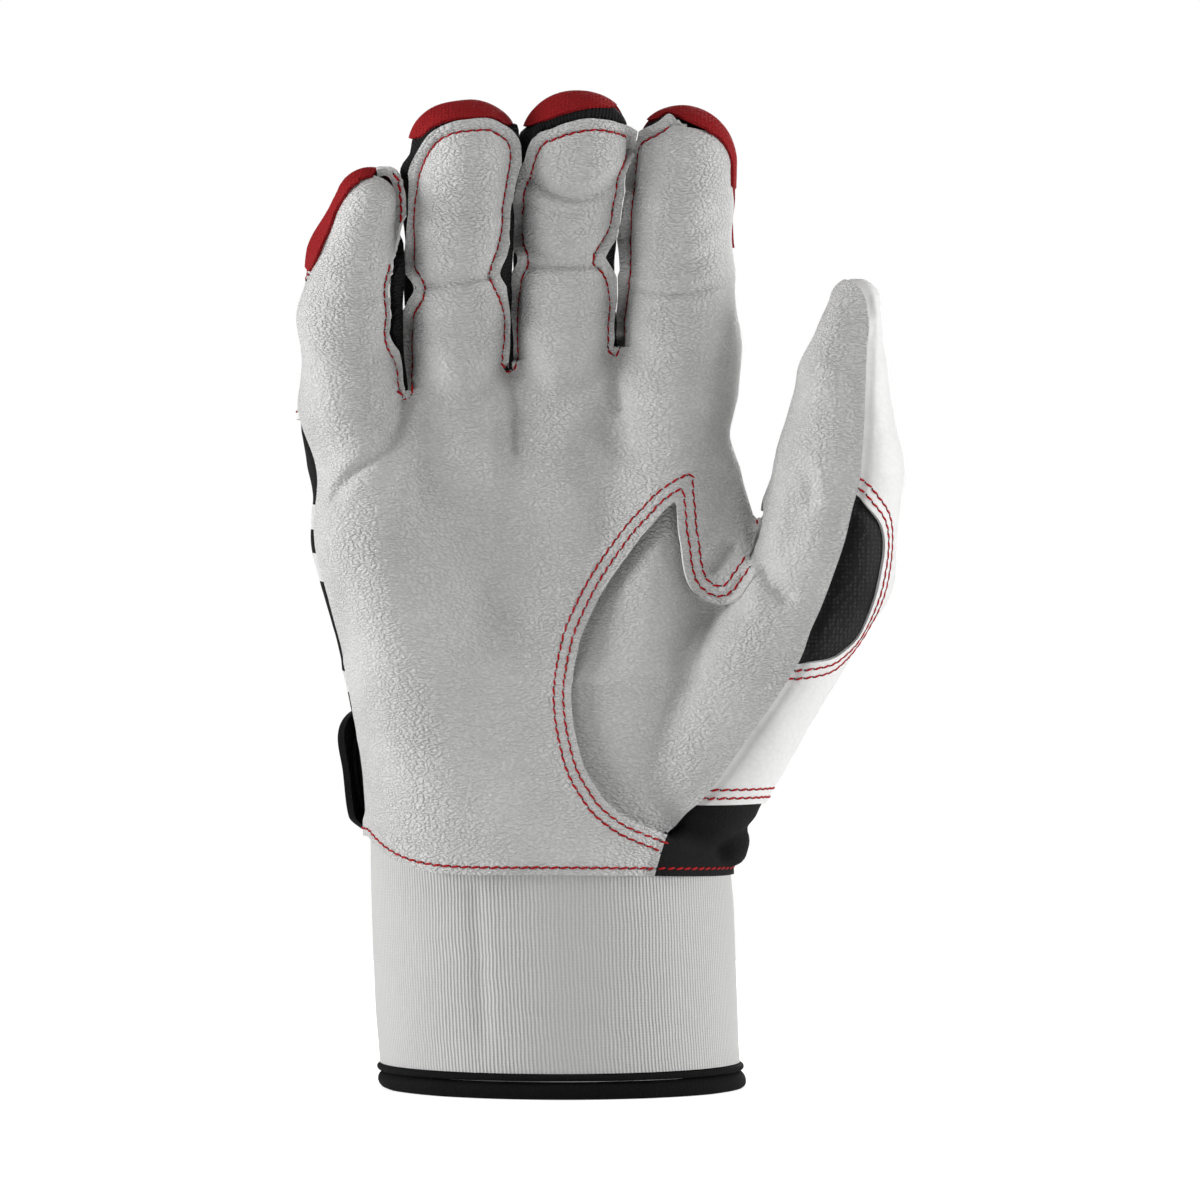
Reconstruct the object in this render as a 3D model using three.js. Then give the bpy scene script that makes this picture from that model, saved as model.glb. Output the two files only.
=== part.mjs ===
// A right-hand batting glove in its worn shape, fingers up and palm towards -Y.
// Millimetres, +Z up, +X towards the thumb. The origin is the centre of the hem, on the plane it stands on.
//
// The hand inside is described by tapered bones. The glove's skin is the surface round those bones, and each
// panel is a patch of that skin, cut along its seams and given its own thickness.
import * as THREE from "three";

// Driving dimensions.
const CUFF_WIDTH = 82;
const CUFF_DEPTH = 55;
const CUFF_HEIGHT = 52;
const CUFF_SHIFT = 3.3; // the cuff leans this far towards the little finger at its top
const PALM_BREADTH = 104;
const PALM_LENGTH = 110;
const PALM_DEPTH = 31;
const THUMB_SPREAD = 62; // from the hem's middle to the thumb's middle joint
const THUMB_WIDTH = 31;
const THUMB_LENGTH = 37; // from the middle joint to the middle of the tip

const LEATHER = 0.9;
const STRETCH_FABRIC = 0.8;
const CUFF_WALL = 2.2;
const SEAM_GAP = 0.3;
const LAYER_GAP = 0.45; // between tapes and straps that lie over one another
const JOINT_GAP = 0.5;
const CUT_CLEARANCE = 0.12; // a cut through the skin stays this far from the vertices it passes
const BODY_GRID = 6.4; // spacing of the skin's own vertices on the hand
const FINGER_GRID = 5.6;

const HEM_HEIGHT = 3.9;
const HEM_STAND_OFF = 0.9; // how far the binding stands out from the cuff
const HEM_ROUND = 1.6;
const PIPING_HEIGHT = 1.4;
const PIPING_STAND_OFF = 0.5;

const STRAP_HEIGHT = 30;
const STRAP_THICKNESS = 1.5;
const STRAP_ABOVE_CUFF = 5; // from the cuff's top to the strap's lower edge
const STRAP_ROOT_SHARE = 0.244; // where the strap is sewn down, as a share of the cuff's width from its middle
const STRAP_WRAP = 1; // how far the strap's end reaches round the little finger's side
const STRAP_CORNER = 14.5;
const PATCH_THICKNESS = 0.8;
const PATCH_MARGIN = 3.5; // between the edge of the strap and the edge of the tapes and badge on it
const ANCHOR_LENGTH = 12;
const BADGE_LENGTH = 34;

// Fingers: outer width and the three segment lengths, with the segments' lean to the side and flexion in degrees.
// Roll turns a finger's seams about its own axis. Outer is +1 or -1 for a finger whose palm leather wraps
// round to the back on that side, and 0 for one with a side panel on each side. The coloured tip cap covers its
// share of the finger's length on the back.
const FINGERS = {
  pinky: {
    width: 23.2, lengths: [22.5, 15, 15], lean: [-3.4, 10, 16], flex: [28, 27, 34], roll: 8, outer: -1,
    knuckleShare: [-0.458, 0.932], wristShare: -0.3, radiusShares: [1, 0.96, 0.86, 0.58], capShare: 0.36,
  },
  ring: {
    width: 23.6, lengths: [21.5, 20.5, 13.5], lean: [1.7, 2.3, 8], flex: [28, 27, 36], roll: 3, outer: 0,
    knuckleShare: [-0.231, 0.995], wristShare: -0.237, radiusShares: [1, 0.96, 1.02, 0.96], capShare: 0.5,
  },
  middle: {
    width: 24, lengths: [20.5, 19.5, 11], lean: [2, 2.4, 15], flex: [28, 27, 38], roll: 2, outer: 0,
    knuckleShare: [-0.004, 1.05], wristShare: -0.04, radiusShares: [1, 0.945, 1, 0.99], capShare: 0.5,
  },
  index: {
    width: 26, lengths: [18, 16.4, 11.5], lean: [0, 0, 3], flex: [27, 26, 34], roll: 2, outer: 1,
    knuckleShare: [0.248, 1.059], wristShare: 0.152, radiusShares: [1, 0.95, 0.9, 0.88], capShare: 0.5,
  },
};
// Half-width of the leather on the palm side of a finger, as shares of the finger's radius at its four stations.
const FRONT_SEAM_SHARES = [0.86, 0.7, 0.82, 0.8];
const BACK_SEAM_SHARE = 0.82;
const OUTER_SEAM_SHARE = -0.2; // of the radius, behind the widest line, on the hand's outer sides

// Colours and finishes.
const FINISH = {
  palm_leather: { color: 0xc9c9c8, roughness: 0.62 },
  back_leather: { color: 0xe9e9e8, roughness: 0.6 },
  cuff_knit: { color: 0xcfcfce, roughness: 0.9 },
  black_stretch: { color: 0x17171a, roughness: 0.85 },
  black_mesh: { color: 0x141416, roughness: 0.8 },
  red_fabric: { color: 0xa81c22, roughness: 0.85 },
  black_binding: { color: 0x161618, roughness: 0.7 },
  strap_webbing: { color: 0x18181a, roughness: 0.75 },
  badge_rubber: { color: 0x232326, roughness: 0.5 },
};

const degrees = THREE.MathUtils.degToRad;
const clamp = THREE.MathUtils.clamp;
const mix = THREE.MathUtils.lerp;
const step = THREE.MathUtils.smoothstep;
const add = (a, b, k = 1) => [a[0] + b[0] * k, a[1] + b[1] * k, a[2] + b[2] * k];
const dot = (a, b) => a[0] * b[0] + a[1] * b[1] + a[2] * b[2];
const cross = (a, b) => [a[1] * b[2] - a[2] * b[1], a[2] * b[0] - a[0] * b[2], a[0] * b[1] - a[1] * b[0]];
const unit = (a) => add([0, 0, 0], a, 1 / Math.hypot(...a));

// Reads a row of evenly spaced values at a place from 0 to the last one's index.
function along(values, place) {
  const i = Math.min(Math.floor(clamp(place, 0, values.length - 1)), values.length - 2);
  return mix(values[i], values[i + 1], clamp(place - i, 0, 1));
}

// A polyline through [place, value] pairs, level beyond its ends.
function piecewise(pairs, place) {
  let k = 1;
  while (k < pairs.length - 1 && place > pairs[k][0]) k += 1;
  const [[a, va], [b, vb]] = [pairs[k - 1], pairs[k]];
  return mix(va, vb, clamp((place - a) / (b - a), 0, 1));
}

// Distance to a tapered bone with an elliptical section, whose depth is depthShare times its width.
function toBone(p, bone) {
  const { a, b, ra, rb, depthShare } = bone;
  const q = [p[0] - a[0], (p[1] - a[1]) / depthShare, p[2] - a[2]];
  const v = [b[0] - a[0], (b[1] - a[1]) / depthShare, b[2] - a[2]];
  const h = clamp(dot(q, v) / dot(v, v), 0, 1);
  return Math.hypot(q[0] - h * v[0], q[1] - h * v[1], q[2] - h * v[2]) - mix(ra, rb, h);
}

// The lesser of two distances, rounded over where they come within k of each other.
function blend(a, b, k) {
  const h = Math.max(k - Math.abs(a - b), 0) / k;
  return Math.min(a, b) - (h * h * k) / 4;
}

// The bones of one finger, from its knuckle to its tip.
function fingerChain(f) {
  const [across, up] = f.knuckleShare;
  const knuckle = [across * PALM_BREADTH, -0.06 * PALM_DEPTH, CUFF_HEIGHT + up * PALM_LENGTH];
  const points = [knuckle];
  f.lengths.forEach((length, i) => {
    const lean = degrees(f.lean[i]);
    const flex = degrees(f.flex[i]);
    const way = [Math.sin(lean) * Math.cos(flex), -Math.sin(flex), Math.cos(lean) * Math.cos(flex)];
    points.push(add(points[i], way, length));
  });
  const radii = f.radiusShares.map((share) => (share * f.width) / 2);
  return { ...f, points, radii, length: f.lengths.reduce((a, b) => a + b) };
}
const chains = Object.fromEntries(Object.entries(FINGERS).map(([name, f]) => [name, fingerChain(f)]));

const FINGER_DEPTH_SHARE = 0.96;
function chainBones(chain) {
  const { points, radii } = chain;
  const start = add(points[0], add(points[1], points[0], -1), -0.5); // carried on below the knuckle
  const bone = (a, b, ra, rb) => ({ a, b, ra, rb, depthShare: FINGER_DEPTH_SHARE });
  return [bone(start, points[0], radii[0], radii[0]),
    ...points.slice(1).map((point, i) => bone(points[i], point, radii[i], radii[i + 1]))];
}

// Bones of the hand's body: one to each knuckle, the two fleshy pads at the wrist, and the thumb.
const wristBones = Object.values(chains).map((chain) => ({
  a: [chain.wristShare * CUFF_WIDTH, 0, CUFF_HEIGHT], b: chain.points[0],
  ra: 0.16 * CUFF_WIDTH, rb: chain.radii[0], depthShare: PALM_DEPTH / chains.ring.width,
}));
const THUMB_ROOT_SHARES = [0.372, 0.17]; // of the cuff's width, and of the palm's length above the cuff
const thumbRadius = THUMB_WIDTH / 2;
const thumbKnuckle = [0.94 * THUMB_SPREAD, -0.25 * PALM_DEPTH, CUFF_HEIGHT + 0.61 * PALM_LENGTH];
const thumbMiddle = [THUMB_SPREAD, -0.36 * PALM_DEPTH, CUFF_HEIGHT + 0.81 * PALM_LENGTH];
const thumbUp = unit([0.09, -0.13, 1]);
const thumbPad = add(add(thumbMiddle, thumbUp, 0.55 * THUMB_LENGTH), [1, 0, 0], -0.035 * THUMB_WIDTH);
const thumbTip = add(thumbMiddle, thumbUp, THUMB_LENGTH);
const [rootAcross, rootUp] = THUMB_ROOT_SHARES;
const thumbRoot = [rootAcross * CUFF_WIDTH, -0.24 * PALM_DEPTH, CUFF_HEIGHT + rootUp * PALM_LENGTH];
const THUMB_RADIUS_SHARES = [1, 1.05, 0.94, 0.66, 0.38];
const thumbPoints = [thumbRoot, thumbKnuckle, thumbMiddle, thumbPad, thumbTip];
const thumbBones = thumbPoints.slice(1).map((point, i) => ({
  a: thumbPoints[i], b: point,
  ra: THUMB_RADIUS_SHARES[i] * thumbRadius, rb: THUMB_RADIUS_SHARES[i + 1] * thumbRadius,
  depthShare: 1,
}));
const heelPad = {
  a: [-0.26 * CUFF_WIDTH, -0.2 * PALM_DEPTH, CUFF_HEIGHT + 0.08 * PALM_LENGTH],
  b: [-0.415 * PALM_BREADTH, -0.12 * PALM_DEPTH, CUFF_HEIGHT + 0.66 * PALM_LENGTH],
  ra: 0.12 * PALM_BREADTH, rb: 0.125 * PALM_BREADTH, depthShare: 1,
};
// The web of leather between the forefinger and the thumb.
const web = {
  a: [0.3 * PALM_BREADTH, -0.08 * PALM_DEPTH, CUFF_HEIGHT + 0.75 * PALM_LENGTH],
  b: [0.38 * PALM_BREADTH, -0.2 * PALM_DEPTH, CUFF_HEIGHT + 0.58 * PALM_LENGTH],
  ra: 0.085 * PALM_BREADTH, rb: 0.085 * PALM_BREADTH, depthShare: 1,
};
// The stretch gusset at the thumb's side of the wrist puffs out in a small fold.
const gussetFold = {
  a: [0.45 * CUFF_WIDTH, -0.1 * CUFF_DEPTH, CUFF_HEIGHT + 0.04 * PALM_LENGTH],
  b: [0.4 * CUFF_WIDTH, 0.1 * CUFF_DEPTH, CUFF_HEIGHT + 0.05 * PALM_LENGTH],
  ra: 0.062 * CUFF_WIDTH, rb: 0.062 * CUFF_WIDTH, depthShare: 1,
};

function cuffCentre(z) {
  return -CUFF_SHIFT * Math.sqrt(clamp(z / CUFF_HEIGHT, 0, 1));
}

// Distance to the wrist: an elliptical tube that narrows from the cuff up into the palm.
const WRIST_NARROWING_SHARES = [0.86, 0.66]; // width and depth left at its upper end
const wristTop = CUFF_HEIGHT + 0.34 * PALM_LENGTH;
function toWrist(p) {
  const up = step(p[2], CUFF_HEIGHT - 0.05 * PALM_LENGTH, wristTop);
  const [a, b] = WRIST_NARROWING_SHARES.map((share, k) => mix(1, share, up) * [CUFF_WIDTH, CUFF_DEPTH][k] / 2);
  const round = (Math.hypot((p[0] - cuffCentre(p[2])) / a, p[1] / b) - 1) * b;
  return Math.max(round, p[2] - wristTop);
}

const SOFTNESS = 0.11 * PALM_BREADTH;
const CREASE = 0.015 * PALM_BREADTH;
const toAll = (bones, k) => (p) => bones.reduce((d, bone) => blend(d, toBone(p, bone), k), Infinity);
const fingerSkin = Object.fromEntries(Object.entries(chains).map(([n, c]) => [n, toAll(chainBones(c), CREASE)]));
const palmBones = [...wristBones, heelPad, web];
const fingersSkin = (p) => Math.min(...Object.values(fingerSkin).map((skin) => skin(p)));
const thumbSkin = toAll(thumbBones, CREASE);
const palmSkin = toAll(palmBones, SOFTNESS);
function handSkin(p) {
  const palm = blend(palmSkin(p), fingersSkin(p), SOFTNESS / 2);
  const hand = blend(palm, toWrist(p), SOFTNESS);
  return blend(blend(hand, thumbSkin(p), SOFTNESS / 4), toBone(p, gussetFold), CREASE);
}

// One finger's own skin, which keeps off its neighbours halfway between them.
function oneFinger(name) {
  const others = Object.keys(chains).filter((other) => other !== name).map((other) => fingerSkin[other]);
  return (p) => {
    const own = fingerSkin[name](p);
    const halfway = Math.max(...others.map((other) => (own - other(p)) / 2));
    return -blend(-blend(palmSkin(p), own, SOFTNESS / 2), -halfway - JOINT_GAP / 2, 2 * CREASE);
  };
}

const PROBE = 0.05;
function gradient(field, p) {
  return [0, 1, 2].map((k) => {
    const ahead = [...p];
    const behind = [...p];
    ahead[k] += PROBE;
    behind[k] -= PROBE;
    return (field(ahead) - field(behind)) / (2 * PROBE);
  });
}

// Where a finger's own frame puts a point: how far along, to the side, and towards the back of the hand.
function inFinger(chain, p) {
  let best = null;
  let start = 0;
  chain.points.slice(1).forEach((b, i) => {
    const a = chain.points[i];
    const way = unit(add(b, a, -1));
    const reach = dot(add(p, a, -1), way);
    const held = clamp(reach, 0, chain.lengths[i]);
    const off = add(add(p, a, -1), way, -held);
    const miss = Math.hypot(...off);
    if (!best || miss < best.miss - 1e-9) {
      const side = unit(add([1, 0, 0], way, -way[0]));
      const back = cross(way, side);
      const turn = degrees(chain.roll);
      const aside = dot(off, side);
      const behind = dot(off, back);
      const last = i === chain.lengths.length - 1;
      best = {
        miss, place: i + held / chain.lengths[i],
        beyond: last ? Math.max(0, reach - held) : 0,
        side: aside * Math.cos(turn) - behind * Math.sin(turn),
        depth: aside * Math.sin(turn) + behind * Math.cos(turn),
        length: start + held,
      };
    }
    start += chain.lengths[i];
  });
  return best;
}

// Positive on the leather at the palm side of a finger, and on its back panel. On the outer side of the hand the
// two meet along one line, and elsewhere a side panel runs between them.
function fingerSeams(chain) {
  const read = (p) => {
    const at = inFinger(chain, p);
    const radius = along(chain.radii, at.place);
    const outward = at.side * chain.outer;
    const line = step(outward, 0, 0.6 * radius) * OUTER_SEAM_SHARE * radius;
    return { at, radius, line, aside: Math.hypot(outward > 0 ? 0 : at.side, at.beyond) };
  };
  const front = (p) => {
    const { at, radius, line, aside } = read(p);
    return Math.min(along(FRONT_SEAM_SHARES, at.place) * radius - aside, line - at.depth);
  };
  const back = (p) => {
    const { at, radius, line, aside } = read(p);
    return Math.min(BACK_SEAM_SHARE * radius - aside, at.depth - line);
  };
  return [front, back];
}

// The line of the knuckles, where the fingers bend.
const knuckleLine = Object.values(chains).map((c) => [c.points[0][0], c.points[0][2]]);
const aboveKnuckles = (p) => p[2] - piecewise(knuckleLine, p[0]);

// A surface round a field's zero, from one vertex in each grid cell that it passes through.
function skinOf(field, low, high, cell) {
  const n = low.map((v, k) => Math.ceil((high[k] - v) / cell) + 1);
  const index = (i, j, k) => (k * n[1] + j) * n[0] + i;
  const corner = (i, j, k) => [low[0] + i * cell, low[1] + j * cell, low[2] + k * cell];
  const values = new Float64Array(n[0] * n[1] * n[2]);
  for (let k = 0; k < n[2]; k += 1)
    for (let j = 0; j < n[1]; j += 1)
      for (let i = 0; i < n[0]; i += 1) values[index(i, j, k)] = field(corner(i, j, k));
  const points = [];
  const cells = new Map();
  const offsets = Array.from({ length: 8 }, (_, m) => [m % 2, Math.floor(m / 2) % 2, Math.floor(m / 4)]);
  const edges = [1, 2, 4].flatMap((way) => [0, 1, 2, 3, 4, 5, 6, 7]
    .filter((m) => Math.floor(m / way) % 2 === 0)
    .map((m) => [m, m + way]));
  for (let k = 0; k < n[2] - 1; k += 1)
    for (let j = 0; j < n[1] - 1; j += 1)
      for (let i = 0; i < n[0] - 1; i += 1) {
        const at = offsets.map(([x, y, z]) => values[index(i + x, j + y, k + z)]);
        let sum = [0, 0, 0];
        let count = 0;
        for (const [e, f] of edges) {
          if (at[e] < 0 === at[f] < 0) continue;
          const t = at[e] / (at[e] - at[f]);
          const [u, v] = [offsets[e], offsets[f]];
          sum = add(sum, [mix(u[0], v[0], t), mix(u[1], v[1], t), mix(u[2], v[2], t)]);
          count += 1;
        }
        if (!count) continue;
        cells.set(index(i, j, k), points.length);
        points.push(add(corner(i, j, k), sum, cell / count));
      }
  for (let turn = 0; turn < 4; turn += 1)
    points.forEach((p, m) => {
      const g = gradient(field, p);
      points[m] = add(p, g, -field(p) / Math.max(dot(g, g), 1e-6));
    });
  const faces = [];
  for (let k = 1; k < n[2] - 1; k += 1)
    for (let j = 1; j < n[1] - 1; j += 1)
      for (let i = 1; i < n[0] - 1; i += 1)
        [[[1, 0, 0], [0, 1, 0], [0, 0, 1]], [[0, 1, 0], [0, 0, 1], [1, 0, 0]], [[0, 0, 1], [1, 0, 0], [0, 1, 0]]]
          .forEach(([e, u, v]) => {
            const here = values[index(i, j, k)] < 0;
            if (here === values[index(i + e[0], j + e[1], k + e[2])] < 0) return;
            const ring = [[0, 0], [1, 0], [1, 1], [0, 1]].map(([s, t]) =>
              cells.get(index(i - s * u[0] - t * v[0], j - s * u[1] - t * v[1], k - s * u[2] - t * v[2])));
            if (!here) ring.reverse();
            const [a, b, c, d] = ring;
            const short = Math.hypot(...add(points[a], points[c], -1)) < Math.hypot(...add(points[b], points[d], -1));
            faces.push(...(short ? [[a, b, c], [a, c, d]] : [[a, b, d], [b, c, d]]));
          });
  return { points, faces, field };
}

// The part of a sheet where a function is positive, cut cleanly along its zero.
function clip(sheet, inside) {
  const values = sheet.points.map(inside);
  const points = [...sheet.points];
  const cuts = new Map();
  const cut = (a, b) => {
    const key = a < b ? a + "," + b : b + "," + a;
    if (!cuts.has(key)) {
      const edge = add(points[b], points[a], -1);
      const margin = Math.min(CUT_CLEARANCE / Math.hypot(...edge), 1 / 2);
      cuts.set(key, points.length);
      points.push(add(points[a], edge, clamp(values[a] / (values[a] - values[b]), margin, 1 - margin)));
    }
    return cuts.get(key);
  };
  const faces = [];
  for (const face of sheet.faces) {
    const ring = [];
    face.forEach((a, m) => {
      const b = face[(m + 1) % 3];
      if (values[a] > 0) ring.push(a);
      if (values[a] > 0 !== values[b] > 0) ring.push(cut(a, b));
    });
    for (let m = 2; m < ring.length; m += 1) faces.push([ring[0], ring[m - 1], ring[m]]);
  }
  return largest({ points, faces, field: sheet.field });
}

// A sheet without the slivers that several cuts leave: the ends of its shortest edges become one point.
function joinShortEdges(sheet) {
  const same = sheet.points.map((_, i) => i);
  const root = (i) => (same[i] === i ? i : root(same[i]));
  for (const [a, b, c] of sheet.faces)
    for (const [i, j] of [[a, b], [b, c], [c, a]]) {
      const [u, v] = [root(i), root(j)];
      if (Math.hypot(...add(sheet.points[u], sheet.points[v], -1)) < CUT_CLEARANCE) same[v] = u;
    }
  const faces = sheet.faces.map((face) => face.map(root)).filter((face) => new Set(face).size === 3);
  return largest({ ...sheet, faces });
}

// Only the largest piece of a sheet that hangs together along its edges, with the points that it uses.
function largest(sheet) {
  const parent = sheet.faces.map((_, i) => i);
  const root = (i) => {
    while (parent[i] !== i) i = parent[i] = parent[parent[i]];
    return i;
  };
  const seen = new Map();
  sheet.faces.forEach((face, f) => face.forEach((a, m) => {
    const b = face[(m + 1) % 3];
    const other = seen.get(b + "," + a);
    if (other === undefined) seen.set(a + "," + b, f);
    else parent[root(f)] = root(other);
  }));
  const sizes = new Map();
  sheet.faces.forEach((_, f) => sizes.set(root(f), (sizes.get(root(f)) || 0) + 1));
  const best = [...sizes].sort((a, b) => b[1] - a[1])[0];
  const kept = best ? sheet.faces.filter((_, f) => root(f) === best[0]) : [];
  const fresh = new Map();
  const points = [];
  const faces = kept.map((face) => face.map((i) => {
    if (!fresh.has(i)) {
      fresh.set(i, points.length);
      points.push(sheet.points[i]);
    }
    return fresh.get(i);
  }));
  return { points, faces, field: sheet.field };
}

// A closed solid between two offsets of a sheet along its normals, with walls along the sheet's edges.
function thicken(sheet, low, high) {
  const count = sheet.points.length;
  const normals = sheet.points.map((p) => unit(gradient(sheet.field, p)));
  const over = sheet.points.map((p, i) => add(p, normals[i], high));
  const under = sheet.points.map((p, i) => add(p, normals[i], low));
  const open = new Map();
  const faces = [];
  for (const [a, b, c] of sheet.faces) {
    faces.push([a, b, c], [c + count, b + count, a + count]);
    for (const [i, j] of [[a, b], [b, c], [c, a]])
      if (open.has(j + "," + i)) open.delete(j + "," + i);
      else open.set(i + "," + j, [i, j]);
  }
  for (const [i, j] of open.values()) faces.push([j, i, i + count], [j, i + count, j + count]);
  return geometry([...over, ...under], faces);
}

function geometry(points, faces) {
  const made = new THREE.BufferGeometry();
  made.setAttribute("position", new THREE.Float32BufferAttribute(points.flat(), 3));
  made.setIndex(faces.flat());
  made.computeVertexNormals();
  return made;
}

const glove = new THREE.Group();
glove.name = "batting_glove";
const materials = Object.fromEntries(Object.entries(FINISH).map(([name, finish]) =>
  [name, new THREE.MeshStandardMaterial({ name, metalness: 0, ...finish })]));

function place(name, made, finish) {
  const mesh = new THREE.Mesh(made, materials[finish]);
  mesh.name = name;
  glove.add(mesh);
  return mesh;
}

// One panel: the part of a sheet inside every seam, a seam's gap short of each. Its lower face lies this far
// above the sheet, and a panel of the skin itself lies wholly under it.
function panel(name, sheet, seams, thickness, finish, low = -thickness) {
  const cutOut = seams.reduce((rest, seam) => clip(rest, (p) => seam(p) - SEAM_GAP / 2), sheet);
  return place(name, thicken(joinShortEdges(cutOut), low, low + thickness), finish);
}
const not = (seam) => (p) => -seam(p);

// Fingers
function boxRound(points, reach) {
  return [-1, 1].map((sign) => [0, 1, 2].map((k) =>
    sign * (Math.max(...points.map((p) => sign * p[k])) + reach)));
}

function makeFinger(name) {
  const chain = chains[name];
  const [low, high] = boxRound(chain.points, chain.width);
  const tube = clip(skinOf(oneFinger(name), low, high, FINGER_GRID), (p) => aboveKnuckles(p) - JOINT_GAP / 2);
  const [front, back] = fingerSeams(chain);
  const tipCap = (p) => inFinger(chain, p).length - (1 - chain.capShare) * chain.length;
  panel(name + "_front", tube, [front], LEATHER, "palm_leather");
  panel(name + "_side_panel", tube, [not(front), not(back)], STRETCH_FABRIC, "black_stretch");
  panel(name + "_tip_cap", tube, [back, tipCap], STRETCH_FABRIC, "red_fabric");
  panel(name + "_back", tube, [back, not(tipCap)], LEATHER, "back_leather");
}
Object.keys(FINGERS).forEach(makeFinger);

// The body of the glove
const bodyLow = [-0.62 * PALM_BREADTH, -1.2 * PALM_DEPTH, CUFF_HEIGHT - 2.5 * BODY_GRID];
const bodyHigh = [THUMB_SPREAD + THUMB_WIDTH, 1.2 * PALM_DEPTH, thumbTip[2] + THUMB_WIDTH / 2];
const bodySheet = skinOf(handSkin, bodyLow, bodyHigh, BODY_GRID);

// The seam where the palm and back are sewn to the cuff. It turns up at the little finger's side.
const cuffSeamRise = 0.068 * PALM_LENGTH;
const cuffSeamDip = 0.013 * PALM_LENGTH;
function cuffSeam(p) {
  const across = (p[0] - cuffCentre(CUFF_HEIGHT)) / (CUFF_WIDTH / 2);
  return CUFF_HEIGHT + cuffSeamRise * clamp(-across, 0, 1) ** 6 - cuffSeamDip * clamp(across, 0, 1) ** 2;
}
const aboveCuff = (p) => p[2] - cuffSeam(p);

// The thumb's own frame: how high up it, and how far round from its pad.
const thumbAxis = (z) => [0, 1].map((k) => piecewise(thumbPoints.map((q) => [q[2], q[k]]), z));
const thumbFace = degrees(-127); // direction of the thumb's pad, seen from above
const thumbTurn = (p) => {
  const [x, y] = thumbAxis(p[2]);
  const turn = Math.atan2(p[1] - y, p[0] - x) - thumbFace;
  return Math.atan2(Math.sin(turn), Math.cos(turn));
};
const thumbHinge = CUFF_HEIGHT + 0.8 * PALM_LENGTH;
const aboveThumbFold = (p) => dot(add(p, thumbMiddle, -1), thumbUp) - (thumbHinge - thumbMiddle[2]);
const THUMB_CLEFT_SHARE = 0.735; // where the cleft beside the thumb lies, as a share of its spread
const onThumb = (p) => Math.min(aboveThumbFold(p), p[0] - THUMB_CLEFT_SHARE * THUMB_SPREAD);

// Positive on the palm side of the hand. The side seam runs a little in front of the widest line, and at the little
// finger's side it comes forward between the knuckles and the strap.
const LITTLE_SIDE_SEAM_SHARES = [ // up the palm's length, and across the palm's depth
  [0, -0.065], [0.25, -0.13], [0.39, -0.26], [0.66, -0.31], [0.85, -0.24], [0.91, -0.19], [0.98, -0.08],
];
const thumbSideSeam = [[0.25 * THUMB_SPREAD, -0.04 * PALM_DEPTH], [0.8 * THUMB_SPREAD, -0.2 * PALM_DEPTH]];
const littleSideSeam = LITTLE_SIDE_SEAM_SHARES
  .map(([up, depth]) => [CUFF_HEIGHT + up * PALM_LENGTH, depth * PALM_DEPTH]);
const sideSeam = (p) =>
  mix(piecewise(thumbSideSeam, p[0]), piecewise(littleSideSeam, p[2]), step(-p[0], 0, 0.3 * PALM_BREADTH));
const onPalmSide = (p) => sideSeam(p) - p[1];

// The seam down the thumb and its fleshy pad, between the palm leather and the panels behind it.
const THUMB_SEAM_SHARES = [
  [0.05, 0.355], [0.155, 0.54], [0.255, 0.665], [0.415, 0.865], [0.62, 0.974], [0.764, 1.048], [0.89, 1.09],
  [1.2, 1.103],
];
const thumbSeam = (p) => piecewise(THUMB_SEAM_SHARES.map(([up, across]) =>
  [CUFF_HEIGHT + up * PALM_LENGTH, across * THUMB_SPREAD]), p[2]) - p[0];
const thumbFront = (p) => Math.min(thumbSeam(p), onPalmSide(p));

// The seam round the thumb's pad on the palm, as shares of the thumb's spread across and the palm's length above
// the cuff. It climbs to a point beside the forefinger, drops round the leather web and goes up the thumb.
const PAD_SEAM_SHARES = [
  [0.463, 0.785], [0.331, 0.755], [0.255, 0.706], [0.158, 0.634], [0.085, 0.566], [0.039, 0.516], [-0.021, 0.415],
  [-0.032, 0.34], [-0.021, 0.264], [0.035, 0.162], [0.094, 0.112], [0.215, 0.055], [0.387, 0.036], [1.45, 0],
  [1.45, 0.9], [0.72, 0.9], [0.7, 0.706], [0.635, 0.617], [0.553, 0.543], [0.516, 0.566], [0.48, 0.617],
  [0.452, 0.706],
];
const padSeam = PAD_SEAM_SHARES.map(([across, up]) => [across * THUMB_SPREAD, CUFF_HEIGHT + up * PALM_LENGTH]);

// Distance inside a closed outline seen from the palm, negative outside it.
function insideOutline(outline) {
  return ([x, , z]) => {
    let nearest = Infinity;
    let inside = false;
    outline.forEach(([bx, bz], i) => {
      const [ax, az] = outline.at(i - 1);
      const [ux, uz] = [bx - ax, bz - az];
      const t = clamp(((x - ax) * ux + (z - az) * uz) / (ux * ux + uz * uz), 0, 1);
      nearest = Math.min(nearest, Math.hypot(x - ax - t * ux, z - az - t * uz));
      if (az > z !== bz > z && x < ax + ((z - az) * ux) / uz) inside = !inside;
    });
    return inside ? nearest : -nearest;
  };
}
const thumbPadSeam = insideOutline(padSeam);

const handSheet = clip(bodySheet, (p) => -Math.max(aboveKnuckles(p), onThumb(p)) - JOINT_GAP / 2);
const body = clip(handSheet, (p) => aboveCuff(p) - SEAM_GAP / 2);
const palmSide = [onPalmSide, thumbSeam];
panel("palm_panel", body, [...palmSide, not(thumbPadSeam)], LEATHER, "palm_leather");
panel("thumb_pad_panel", body, [...palmSide, thumbPadSeam], LEATHER, "palm_leather");

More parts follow.
